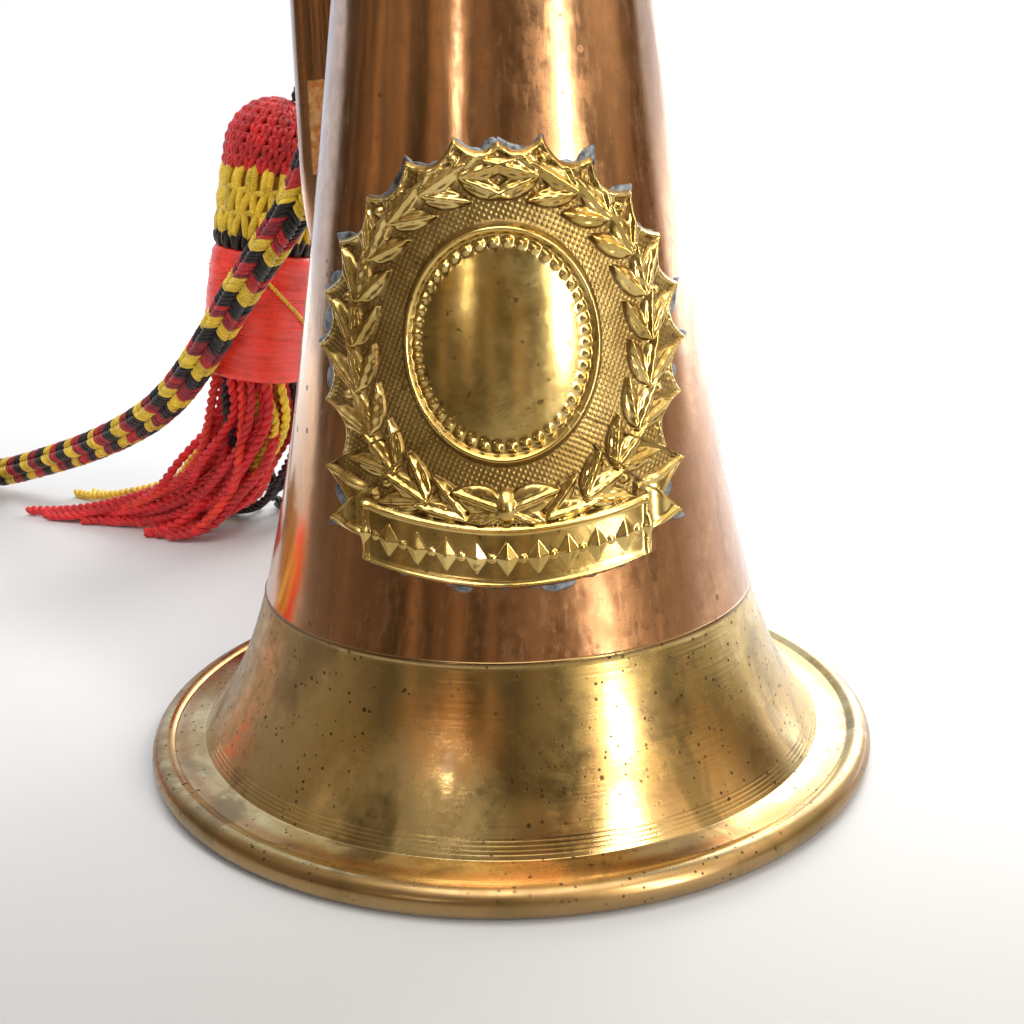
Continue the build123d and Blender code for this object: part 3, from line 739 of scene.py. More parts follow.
class Tassel:
    """A tassel's own axis: its foot, where the skirt begins, and its height up to the cord."""

    def __init__(self, tag, top):
        low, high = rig.box(f"{tag}_whipping")
        middle, top = (low + high) / 2, Vector(top)
        self.tag = tag
        self.height = (top - middle).length / (1 - NECK_SHARE / 2)
        self.up = (top - middle).normalized()
        self.foot = np.array(top - self.up * self.height)
        turn = self.up.to_track_quat("Z", "Y").to_matrix()
        self.turn = np.array(turn)
        self.neck = self.height * NECK_SHARE

    def place(self, local):
        return np.asarray(local) @ self.turn.T + self.foot

    def dome(self, s, angle, lift=0.0):
        """A point on the head's surface: s runs from the head's lower edge up over the crown."""
        straight = self.height - HEAD_R - self.neck
        s, angle = np.broadcast_arrays(np.asarray(s, float), np.asarray(angle, float))
        over = np.clip((s - straight) / HEAD_R, 0, math.pi / 2)
        radius = (HEAD_R + lift) * np.cos(over) * (1 - 0.08 * np.clip(s / straight, 0, 1))
        height = self.neck + np.minimum(s, straight) + (HEAD_R + lift) * np.sin(over)
        return round_axis(radius, angle, height)


def make_head(tassel, seed):
    """A crocheted cover: a black edge, yellow rows, and red rows that close over the crown."""
    rng = random.Random(seed)
    batch = Batch()
    straight = tassel.height - HEAD_R - tassel.neck
    full = straight + HEAD_R * math.pi / 2
    around = np.linspace(0, TURN, 72, endpoint=False)
    rise = np.linspace(0.5 * MM, full - 0.6 * MM, 60)
    s, angle = np.meshgrid(rise, around, indexing="ij")
    under = tassel.dome(s, angle, -1.8 * MM)
    yellow_top = straight * 0.80
    # painted shade: the layer under the stitches is a darkened yellow and a darkened red, so the gaps between stitches
    # read as shade; the lowest part is black
    painted_shade_ground = np.where((s < yellow_top)[..., None], np.array((0.62, 0.38, 0.020)), np.array(RED) * 0.30)
    painted_shade_ground = np.where((s < 2.2 * MM)[..., None], np.array(BLACK), painted_shade_ground)
    batch.grid(tassel.place(under), painted_shade_ground)

    def loop(points, tint, radius):
        points = tassel.place(np.array(points))
        if length_of(points) < 1.2 * MM:
            return
        path, _ = along(points, 0.45 * MM)
        width = np.full(len(path), radius)
        width[0] = width[-1] = radius * 0.5
        batch.grid(tube_rows(path, width, 7), tint)

    rows = [(0.0, 3.4 * MM, 24, BLACK, 0.78 * MM)]
    at = 2.1 * MM
    yellow_rows = 3
    yellow_pitch = (yellow_top - at) / yellow_rows
    for _ in range(yellow_rows):
        rows.append((at, yellow_pitch, 19, YELLOW, 0.98 * MM))
        at += yellow_pitch
    while at < full - 1.5 * MM:
        over = max(0.0, (at - straight) / HEAD_R)
        count = max(5, round(TURN * HEAD_R * math.cos(over) / (3.5 * MM)))
        pitch = 2.9 * MM
        rows.append((at, pitch, count, RED, 0.74 * MM))
        at += pitch
    for index, (base, pitch, count, tint, thick) in enumerate(rows):
        step = TURN / count
        shift = (index % 2) * step / 2 + rng.uniform(-0.05, 0.05)
        for k in range(count):
            centre = shift + k * step + rng.uniform(-0.04, 0.04) * step
            colour = np.array(tint) * rng.uniform(0.82, 1.12)
            tall = pitch * rng.uniform(1.10, 1.28)
            upright = tint is YELLOW and index == yellow_rows
            lean = step * rng.uniform(0.02, 0.26)
            for side in (-1, 1):
                foot = centre + side * step * (0.15 if upright else 0.09) - lean
                tip = centre + side * step * (0.13 if upright else rng.uniform(0.30, 0.42))
                share = (0.0, 0.25, 0.6, 0.9, 1.08)
                lifts = (-1.9, -0.75, -0.4, -0.8, -1.9)
                points = [
                    tassel.dome(min(base + tall * t, full), foot + (tip - foot) * t**1.4, lift * MM)
                    for t, lift in zip(share, lifts)
                ]
                loop(points, colour, thick)
            if tint is not BLACK and not upright:
                arc = [
                    tassel.dome(
                        min(base + tall * (0.93 + 0.10 * math.sin(math.pi * t)), full),
                        centre + step * (t - 0.5) * 1.05,
                        (-0.5 - 0.7 * abs(t - 0.5)) * MM,
                    )
                    for t in (0, 0.25, 0.5, 0.75, 1)
                ]
                loop(arc, colour * 0.92, thick * 0.82)
    for k in range(6):
        angle = TURN * k / 6
        points = [tassel.dome(full - 2.6 * MM * (1 - t), angle + t, -0.6 * MM) for t in (0, 0.5, 1)]
        loop(points, np.array(RED) * 0.8, 0.8 * MM)
    return keep(batch.make(f"{tassel.tag}_crochet_head", crochet_thread), "crochet", f"{tassel.tag}_cover")


def make_whipping(tassel, seed):
    """Silk wound round the neck: fine even turns with slack threads, loose ends and a little fuzz."""
    rng = np.random.default_rng(seed)
    batch = Batch()
    heights = np.linspace(0.5 * MM, tassel.neck - 0.3 * MM, 170)
    angles = np.linspace(0, TURN, 110, endpoint=False)
    z, a = np.meshgrid(heights, angles, indexing="ij")
    share = z / tassel.neck
    over, under = np.clip((share - 0.93) / 0.07, 0, 1), np.clip((0.05 - share) / 0.05, 0, 1)
    body = 13.6 * MM + 0.9 * MM * np.sin(math.pi * share) ** 0.7
    body -= 0.9 * MM * over**2 + 0.9 * MM * under**2
    turns = z / (0.62 * MM) + a / TURN + 0.5 * np.sin(a * 2 + z * 160) + 0.3 * np.sin(a * 5 - z * 420)
    ridge = np.abs(np.sin(math.pi * turns)) ** 0.6
    lump = np.sin(z * 900 + 2.1 * np.sin(a)) * 0.5 + np.sin(z * 2300 + 3 * np.cos(a + 1)) * 0.3
    radius = body + 0.13 * MM * ridge + 0.12 * MM * lump
    rows = round_axis(radius, a, z)
    # painted shade: the tint darkens in the grooves between turns and follows the lumps; the change from turn to turn
    # is the silk's own uneven tone
    tone = 1 + 0.10 * np.sin(np.floor(turns) * 2.4)[..., None] + 0.08 * lump[..., None]
    tint = np.array(SCARLET) * tone * (0.90 + 0.1 * ridge[..., None])
    batch.grid(tassel.place(rows), tint)
    for _ in range(9):
        level = rng.uniform(0.12, 0.9) * tassel.neck
        turn = np.linspace(0, rng.uniform(2, 4.5), 40)
        start = rng.uniform(0, TURN)
        slope = rng.uniform(-1.4, 1.4) * MM
        at = level + slope * turn / 3
        line = round_axis(14.55 * MM, start + turn, at)
        batch.grid(tube_rows(tassel.place(line), 0.17 * MM, 5), np.array(SCARLET) * rng.uniform(0.8, 1.1))
    for _ in range(260):
        level, start = rng.uniform(0.04, 0.97) * tassel.neck, rng.uniform(0, TURN)
        out = rng.uniform(0.5, 1.5) * MM
        t = np.linspace(0, 1, 5)
        rise = rng.uniform(-1.2, 1.2) * MM * t**2
        line = round_axis(14.3 * MM + out * t, start + 0.12 * t, level + rise)
        batch.grid(tube_rows(tassel.place(line), 0.035 * MM, 3), SCARLET)
    return keep(batch.make(f"{tassel.tag}_silk_whipping", silk), "red_thread", f"{tassel.tag}_whipping")


def make_slant_thread(tassel):
    """One yellow thread that slants over the whipping."""
    batch = Batch()
    t = np.linspace(0, 1, 40)
    front = np.array((math.cos(math.radians(-91)), math.sin(math.radians(-91)), 0)) @ tassel.turn
    angle = math.atan2(front[1], front[0]) + t * 1.57
    out = 14.75 * MM + 0.5 * MM * np.sin(math.pi * t)
    level = tassel.neck * (0.90 - 0.62 * t)
    out[0] = out[-1] = 13.6 * MM
    line = round_axis(out, angle, level)
    yarn(batch, tassel.place(line), 0.55 * MM, np.array(YELLOW) * 0.95, 2.4 * MM, sides=6)
    keep(batch.make(f"{tassel.tag}_slant_thread", crochet_thread), "crochet")


def bezier(points):
    """A smooth line with these as its control points."""
    t = np.linspace(0, 1, 44)[:, None]
    layers = [np.array(p, float) for p in points]
    while len(layers) > 1:
        layers = [a * (1 - t) + b * t for a, b in zip(layers, layers[1:])]
    return layers[0]


def skirt_roots(tassel, strands, start):
    """Where each strand leaves the whipping, spread evenly over a disc."""
    for k in range(strands):
        ring = math.sqrt((k + 0.5) / strands)
        angle = k * GOLDEN + start
        x, y = ring * math.cos(angle), ring * math.sin(angle)
        yield k, Vector(tassel.place((x * 11.0 * MM, y * 11.0 * MM, 2 * MM)))


def make_standing_skirt(tassel):
    """Twisted yarns that hang from the whipping and run out over the table."""
    rng = random.Random(11)
    batch = Batch()
    for k, root in skirt_roots(tassel, 43, 0.4):
        thick = rng.uniform(1.2, 1.6) * MM
        chance, far = rng.random(), rng.random()
        right = min(max((root.x - tassel.foot[0]) / (22 * MM) + 0.5, 0), 1)
        if chance < 0.17 or right > 0.93:
            tint, tip = BLACK, Vector((-66 - 30 * far, 152 - 7 * far, 0)) * MM
        elif chance < 0.38:
            tint, tip = YELLOW, Vector((-100 - 42 * far, 148 + 24 * far, 0)) * MM
        else:
            tint = RED if rng.random() < 0.65 else SCARLET
            far *= 1.1 - 0.65 * right
            tip = Vector((-94 - 56 * far, 123 + 30 * far, 0)) * MM
        tip += Vector((rng.uniform(-4, 4), rng.uniform(-5, 5), 0)) * MM
        tip.z = thick * 0.9
        drop, away = root.z - tip.z, tip - root
        reach = (0.02, 0.14 - 0.14 * right, 0.34 - 0.22 * right, 0.70 - 0.14 * right)
        level = (0.76, 0.44 + 0.06 * right, 0.13 + 0.04 * right, 0.03)
        controls = [root]
        for across, high in zip(reach, level):
            loose = rng.uniform(-3, 3) * MM
            point = root + away * across
            bulge = 3.0 * MM * right * high
            controls.append(Vector((point.x + bulge + loose * 0.4, point.y + loose, tip.z + drop * high)))
        line = bezier([*controls, tip])
        sway = np.linspace(0, 1, len(line))
        for axis in (0, 1, 2):
            curl = np.sin(sway * rng.uniform(8, 16) + rng.uniform(0, TURN)) * rng.uniform(0.5, 1.9) * MM
            line[:, axis] += curl * np.sin(sway * math.pi * 0.95) ** 0.6 * (0.4 if axis == 2 else 1)
        line[:, 2] = np.maximum(line[:, 2], thick * 0.98 + 1.5 * MM * (k % 3) * np.sin(sway * math.pi) ** 2)
        tint = np.array(tint) * rng.uniform(0.85, 1.25)
        yarn(batch, line, thick, tint, 5.2 * MM, start=rng.uniform(0, 6))
    return keep(batch.make(f"{tassel.tag}_strands", strand_thread), "red_thread", f"{tassel.tag}_skirt")


def make_lying_skirt(tassel):
    """The loose tassel's yarns, flat on the table in line with it."""
    rng = random.Random(23)
    batch = Batch()
    thick = 1.75 * MM
    down = -Vector(tassel.up)
    across = Vector((-down.y, down.x, 0)).normalized()
    for _, root in skirt_roots(tassel, 40, 0.0):
        off = (root - Vector(tassel.foot)).dot(across)
        tint = RED if rng.random() < 0.72 else (YELLOW if rng.random() < 0.45 else BLACK)
        reach = rng.uniform(28, 37) * MM
        level = thick + max(0.0, (root.z - 3 * MM)) * 0.38
        spread = across * (off * 0.45 + rng.uniform(-1, 1) * MM)
        tip = root + down * reach + spread
        tip.z = min(level, 11 * MM)
        mid = root + down * reach * 0.45 + spread * 0.5
        mid.z = (root.z + tip.z) / 2 - 1.5 * MM
        line = bezier([root, root + down * reach * 0.2, mid, tip.lerp(mid, 0.3), tip])
        line[:, 2] = np.maximum(line[:, 2], thick * 1.02)
        tint = np.array(tint) * rng.uniform(0.85, 1.12)
        yarn(batch, line, thick, tint, 6.4 * MM, start=rng.uniform(0, 6))
    return keep(batch.make(f"{tassel.tag}_strands", strand_thread), "red_thread", f"{tassel.tag}_skirt")


def make_tassel_cord():
    """The thin black cord from which the standing tassel hangs."""
    line = smooth_line(tassel_cord_route)
    batch = Batch()
    yarn(batch, line, 1.5 * MM, np.array(BLACK) * 1.3, 5.0 * MM, plies=3, sides=8)
    return keep(batch.make("tassel_hanging_cord", cord_thread), "black_thread", "tassel_cord"), line


def make_tie():
    """Black thread wound round the coil."""
    low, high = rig.box("coil_tie")
    coil_low, coil_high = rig.box("cord_coil")
    centre = (coil_low + coil_high) / 2
    middle = (low + high) / 2
    outward = Vector((middle.x - centre.x, middle.y - centre.y, 0)).normalized()
    along_cord = Vector((-outward.y, outward.x, 0))
    half_width, half_height, corner = 10.0 * MM, (high.z - 1.6 * MM) / 2, 5.0 * MM
    core = Vector((middle.x, middle.y, half_height + 0.8 * MM))
    batch = Batch()
    turns, per_turn = 7, 48
    points = []
    for k in range(turns * per_turn + 1):
        angle = TURN * k / per_turn
        c, s = math.cos(angle), math.sin(angle)
        x = (half_width - corner) * np.sign(c) * min(1, abs(c) * 1.6) + corner * c
        z = (half_height - corner) * np.sign(s) * min(1, abs(s) * 1.6) + corner * s
        y = (k / (turns * per_turn) - 0.5) * 7.6 * MM
        points.append(tuple(core + outward * x + along_cord * y + Vector((0, 0, z))))
    yarn(batch, points, 0.78 * MM, np.array(BLACK) * 1.4, 3.2 * MM, sides=6, step=0.7 * MM)
    return keep(batch.make("coil_tie_thread", cord_thread), "black_thread", "coil_tie")


tassel_a = Tassel("tassel_a", tassel_top)
tassel_b = Tassel("tassel_b", tail_route[-1])
head_a = make_head(tassel_a, 3)
head_b = make_head(tassel_b, 4)
make_whipping(tassel_a, 5)
whipping_b = make_whipping(tassel_b, 6)
make_slant_thread(tassel_a)
make_standing_skirt(tassel_a)
strands_b = make_lying_skirt(tassel_b)
hanging_cord, hanging_line = make_tassel_cord()
coil_tie = make_tie()

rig.cord(
    dress_cord,
    exit=cord_route[0],
    length=length_of(dress_line),
    diameter=CORD,
    far_end="fitting",
    stiffness="limp",
    lay="loose",
    path=[tuple(p) for p in dress_line[::8]] + [tuple(dress_line[-1])],
    with_pieces=[head_b, whipping_b, strands_b, coil_tie],
)
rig.cord(
    hanging_cord,
    exit=tassel_cord_route[0],
    length=length_of(hanging_line),
    diameter=3 * MM,
    far_end="fitting",
    stiffness="limp",
    lay="hanging",
    path=[tuple(p) for p in hanging_line],
    with_pieces=[head_a],
)


# ---- bell flare ---------------------------------------------------------------------------------
def bell_radius(z):
    """Outer radius of bell and flare at a height, as the CAD has it."""
    z = np.asarray(z, float) / MM
    return (40.21 - 0.1243 * z + 9.92 * np.exp(-z / 48.68) + 9.83 * np.exp(-z / 10.12)) * MM


def make_flare():
    """The spun brass flare in one closed skin: tongue, skirt with turned lines, flange and rolled bead."""
    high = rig.box("bell_flare")[1]
    rim, seam, lap = high.x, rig.box("bell_tube")[0].z, high.z
    bead, crease, flange_top, skin = 2.4 * MM, 54.9 * MM, 4.3 * MM, 0.6 * MM
    bead_r = rim - bead
    tongue_in = 0.82 * MM
    outer = []
    for z in np.linspace(lap, seam, 10):
        outer.append((bell_radius(z) - tongue_in, z))
    turned_zone = 11 * MM
    spread_from = 10 * MM
    z = np.concatenate([np.linspace(seam, turned_zone, 70)[:-1], np.linspace(turned_zone, flange_top, 170)])
    r = bell_radius(z)
    r += (crease - r[-1]) * np.clip((spread_from - z) / (spread_from - flange_top), 0, 1) ** 2
    for groove in (54.35, 53.95, 53.55, 53.15):
        z = z - 0.040 * MM * np.exp(-(((r - groove * MM) / (0.10 * MM)) ** 2))
    lip = 0.22 * MM * np.exp(-(((z - seam) / (0.55 * MM)) ** 2))
    outer += list(zip(r + lip - 0.22 * MM * (z > seam - 0.05 * MM), z))
    for x in np.linspace(crease + 0.35 * MM, bead_r - bead * 0.62, 14):
        outer.append((x, flange_top - 0.10 * MM * math.sin(math.pi * (x - crease) / (bead_r - crease))))
    for angle in np.radians(np.linspace(128, -205, 60)):
        outer.append((bead_r + bead * math.cos(angle), max(bead + bead * math.sin(angle) - 0.05 * MM, 0.0)))
    for x in np.linspace(bead_r - bead * 0.95, crease, 12):
        outer.append((x, flange_top - skin))
    for z in np.linspace(flange_top - skin * 0.6, seam, 60):
        pull = max(0.0, (spread_from - z) / (spread_from - flange_top)) ** 2
        pull *= crease - bell_radius(flange_top)
        outer.append((bell_radius(z) + pull - skin, z))
    for z in np.linspace(seam, lap, 8)[1:]:
        outer.append((bell_radius(z) - tongue_in - 0.35 * MM, z))
    r, z = np.array([(float(a), float(b)) for a, b in outer]).T[:, :, None]
    turn = np.linspace(0, TURN, 420, endpoint=False)
    batch = Batch()
    batch.grid(round_axis(r, turn, z * np.ones_like(turn)), (1, 1, 1), ring=True)
    return keep(batch.make("spun_flare", flare_brass()), "brass_flare", "bell_flare")


LIP = 28.4 * MM  # the dark edge where the brass skirt meets the copper


def flare_brass():
    """Brass worn bright on the skirt, with reddish old lacquer on the bead and in the groove, and a painted dark
    reflection and a painted orange highlight on its front.
    """
    g = surface("spun_brass")
    smear = g.noise(30, 5, 0.6, 0.5)
    fine = g.noise(300, 5, 0.7, 0.3)
    share = g.plus(g.times(smear, 0.6), g.times(fine, 0.4))
    colour = g.mix(g.range(share, 0.40, 0.60), (0.74, 0.56, 0.25), (0.54, 0.365, 0.115))
    colour = g.mix(g.range(g.noise(16, 3, 0.5, 0.4), 0.52, 0.68, 0, 0.75), colour, (0.42, 0.205, 0.06))
    radius = g.radius()
    edge = g.range(g.plus(radius, g.times(fine, 0.003)), 0.0618, 0.0648)
    colour = g.over(colour, edge, 0.85, (0.31, 0.18, 0.070))
    groove = g.times(g.range(radius, 0.0570, 0.0586), g.range(radius, 0.0588, 0.0606, 1, 0))
    colour = g.over(colour, groove, 0.6, (0.44, 0.17, 0.05))
    pit = g.math("MAXIMUM", g.dots(950, 0.34, 0.75), g.dots(460, 0.22, 0.45))
    pit = g.times(pit, g.range(g.noise(38, 2), 0.36, 0.56))
    lip = g.range(g.axis("Z"), LIP, LIP + 0.4 * MM)
    colour = g.over(colour, lip, 0.85, (0.17, 0.085, 0.035))
    place = g.stretch((1, 1, 0.45))
    stain = g.range(g.noise(55, 4, 0.6, 0.8, place), 0.52, 0.66, 0, 0.8)
    colour = g.mix(stain, colour, (0.24, 0.165, 0.055))
    lines = g.noise(1.0, 2, 0.5, 0, g.stretch((5, 5, 2200)))
    film = g.plus(smear, g.times(fine, 0.5))
    left = g.times(g.near((-0.044, -0.022, 0.020), 0.012, 0.032), g.range(film, 0.40, 0.75))
    low = g.times(g.near((-0.0135, -0.050, 0.011), 0.006, 0.014), g.range(film, 0.50, 0.85, 0, 0.7))
    dull = g.math("MAXIMUM", left, low)
    colour = g.over(colour, dull, 0.55, (0.30, 0.20, 0.10))
    # painted reflection: a dark patch on the front of the skirt
    painted_dark_reflection = g.times(g.near((0.003, -0.042, 0.021), 0.006, 0.019), g.range(smear, 0.35, 0.6, 0.5, 1))
    colour = g.over(colour, painted_dark_reflection, 0.6, (0.25, 0.165, 0.055))
    # painted highlight: a bright orange spot on the front of the skirt
    painted_orange_highlight = g.times(g.near((-0.0085, -0.044, 0.020), 0.003, 0.011), g.range(fine, 0.3, 0.6, 0.6, 1))
    colour = g.over(colour, painted_orange_highlight, 0.65, (0.90, 0.42, 0.14))
    colour = g.over(colour, pit, 0.9, (0.050, 0.026, 0.010))
    rough = g.plus(g.range(share, 0.36, 0.66, 0.15, 0.31), g.times(pit, 0.12))
    rough = g.plus(rough, g.times(edge, 0.13))
    rough = g.plus(rough, g.times(dull, 0.42))
    normal = g.bump(g.noise(36, 2, 0.4), 0.30, 0.0005)
    normal = g.bump(lines, 0.25, 0.00008, normal)
    normal = g.bump(fine, 0.08, 0.00010, normal)
    normal = g.bump(g.math("SUBTRACT", 1.0, pit), 0.10, 0.00006, normal)
    return g.finish(colour, rough, normal, Metallic=1.0, **varnish(0.3))


make_flare()


# ---- badge --------------------------------------------------------------------------------------
# the badge's own measures are millimetres: height on the bell, and width on its flat sheet
BADGE_CENTRE = 70.0
LEAF_STEP = 15.2  # degrees between the wreath's leaves
LEAF_TIP = -59.7  # where the first outer tip lies, in degrees
RIBBON_HALF = 4.7
RIBBON_REACH = 21.5
WREATH_MIDDLE = 73.5
OVAL_MIDDLE, OVAL_WIDE, OVAL_TALL, OVAL_MEAN = 74.2, 13.6, 16.0, 14.6
LINK_STEP = 4.3  # from one lozenge of the ribbon to the next


def crest(gap, wide):
    """1 at a line, and near nothing beyond a width from it."""
    return np.exp(-((gap / wide) ** 2))


def ribbon_middle(x):
    """The ribbon hangs lower in its middle."""
    return 44.6 + 3.0 * (x / 22) ** 2


def ribbon_shares(x, z):
    """Where a point lies across the ribbon and across its folded ends: 0 is the middle, 1 an edge."""
    above = z - ribbon_middle(x)
    return above / RIBBON_HALF, (above - 2.4) / (RIBBON_HALF * 0.86)


def badge_outline(theta):
    """How far the plate reaches from its centre: an oval with leaf tips, over a ribbon."""
    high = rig.box("badge_plate")[1]
    half_wide, top = high.x / MM, high.z / MM
    half_tall = 31.0
    t = np.linspace(0, 48, 1200)[:, None]
    x, z = t * np.cos(theta), BADGE_CENTRE + t * np.sin(theta)
    across, up = x / half_wide, (z - top + half_tall) / half_tall
    turned = np.degrees(np.arctan2(up, np.abs(across)))
    tips = 0.085 * np.abs(np.sin(np.pi * (turned - LEAF_TIP) / LEAF_STEP)) ** 0.75
    oval = np.hypot(across, up) < 1 - tips
    across_band, tail = ribbon_shares(x, z)
    notch = 27.0 - 4.0 * (1 - np.abs(tail))
    band = (np.abs(x) < RIBBON_REACH) & (np.abs(across_band) < 1)
    ribbon = band | (np.abs(x) < notch) & (np.abs(tail) < 1)
    return (t * (oval | ribbon)).max(axis=0)


def leaf(u, z, base, heading, length, width):
    """Height of one pointed leaf with a midrib, lying on the sheet."""
    c, s = math.cos(heading), math.sin(heading)
    along_leaf = ((u - base[0]) * c + (z - base[1]) * s) / length
    across = -(u - base[0]) * s + (z - base[1]) * c
    inside = np.clip(along_leaf, 0, 1)
    half = width * np.sin(math.pi * inside**0.85) ** 0.8 + 1e-6
    q = np.clip(1 - (across / half) ** 2, 0, 1)
    q = np.where((along_leaf > 0) & (along_leaf < 1), q, 0)
    rib = 0.26 * crest(across, 0.34) - 0.12 * crest(np.abs(across) - 0.65, 0.28)
    veins = 0.035 * np.sin(along_leaf * 26 - np.abs(across) * 2.6)
    return np.sqrt(q) * (0.95 + veins) + rib * (q > 0.05)


def badge_relief(u, z):
    """Height of the stamped pattern: a laurel wreath round a plain domed oval, and a plain ribbon."""
    stipple = np.clip(np.sin(u * 5.6 + z * 2.1) * np.sin(z * 5.6 - u * 2.1), 0, 1)
    high = 0.08 + 0.16 * stipple
    wreath_u, wreath_z = 23.0, 24.4
    arc = np.hypot(u / wreath_u, (z - WREATH_MIDDLE) / wreath_z)
    stem = 0.55 * crest((arc - 1) * wreath_u, 0.8)
    high = np.maximum(high, np.where(z < WREATH_MIDDLE + wreath_z, stem, 0))
    for side in (-1, 1):
        for k in range(11):
            phi = math.radians(-76 + LEAF_STEP * k)
            base = (side * wreath_u * math.cos(phi), WREATH_MIDDLE + wreath_z * math.sin(phi))
            rise = math.atan2(wreath_z * math.cos(phi), -side * wreath_u * math.sin(phi))
            for lean, length, width in ((0.62, 8.2, 1.75), (-0.66, 7.6, 1.6), (0.02, 8.0, 1.5)):
                lift = 0.22 if lean == 0.02 else 0.0
                shape = leaf(u, z, base, rise - side * lean, length, width)
                high = np.maximum(high, np.where(shape > 0, shape + lift, 0))
            berry_u = base[0] + side * 2.4 * math.cos(phi)
            berry_z = base[1] + 2.4 * math.sin(phi)
            berry = 1.15 - ((u - berry_u) ** 2 + (z - berry_z) ** 2) / 0.9
            high = np.maximum(high, berry * (k % 2 == 0))
    oval = np.hypot(u / OVAL_WIDE, (z - OVAL_MIDDLE) / OVAL_TALL)
    dome = np.where(oval < 1, 0.35 + 1.15 * (1 - np.clip(oval, 0, 1) ** 2.2), 0)
    high = np.where(oval < 1.03, dome, high)
    for ring, size, width in ((1.0, 1.25, 0.75), (0.80, 0.55, 0.40)):
        high = np.maximum(high, (size + 0.25) * crest((oval - ring) * OVAL_MEAN, width))
    around = np.arctan2(z - OVAL_MIDDLE, u)
    pearl = crest((oval - 0.90) * OVAL_MEAN, 0.62) * (0.5 + 0.5 * np.cos(around * 46)) ** 0.8
    high = np.maximum(high, dome + 0.55 * pearl * (oval < 1))
    band, tail = ribbon_shares(u, z)
    on_tail = (np.abs(tail) < 1) & (np.abs(u) > 19.5)
    ends = 0.75 - 0.30 * crest(np.abs(u) - RIBBON_REACH, 0.9) + 0.18 * np.cos(u * 1.3)
    ends += 0.40 * crest((np.abs(tail) - 0.84) * 4.0, 0.40)
    high = np.where(on_tail, ends, high)
    on_band = (np.abs(band) < 1.0) & (np.abs(u) < RIBBON_REACH)
    along_band = (u / LINK_STEP + 0.5) % 1 - 0.5
    up = band * RIBBON_HALF
    lozenge = np.clip(1 - np.abs(along_band) * LINK_STEP / 1.6 - np.abs(up) / 2.4, 0, 0.85)
    bead = 1 - ((np.abs(along_band) - 0.5) * LINK_STEP / 0.55) ** 2 - (up / 0.55) ** 2
    ribbon = 1.15 + 0.20 * np.cos(u * 0.30) + 0.90 * lozenge + 0.35 * np.sqrt(np.clip(bead, 0, 1))
    ribbon += 0.50 * crest((np.abs(band) - 0.84) * RIBBON_HALF, 0.34)
    ribbon += 0.30 * crest(np.abs(u) - 20.9, 0.4)
    high = np.where(on_band, ribbon * np.clip((1 - np.abs(band)) / 0.06, 0, 1) ** 0.5, high)
    for side in (-1, 1):
        for tilt, reach in ((0.35, 8.0), (-0.45, 7.0)):
            loop = leaf(u, z, (0, 51.2), math.pi / 2 - side * (math.pi / 2 - tilt), reach, 2.3)
            high = np.maximum(high, np.where(loop > 0, loop + 0.45, 0) * (np.abs(band) >= 1.0))
    knot = 2.1 - ((u / 1.6) ** 2 + ((z - 51.4) / 1.9) ** 2) * 0.9
    return np.maximum(high, np.where(np.abs(band) >= 0.95, knot, 0))


def on_bell(x, z, stand):
    """A point on the bell's front, at a plan offset x and height z, off the copper by stand, in mm."""
    base = bell_radius(z * MM) / MM
    swing = np.arcsin(np.clip(x / (base + 0.45), -1, 1))
    return np.stack([(base + stand) * np.sin(swing), -(base + stand) * np.cos(swing), z], axis=-1) * MM


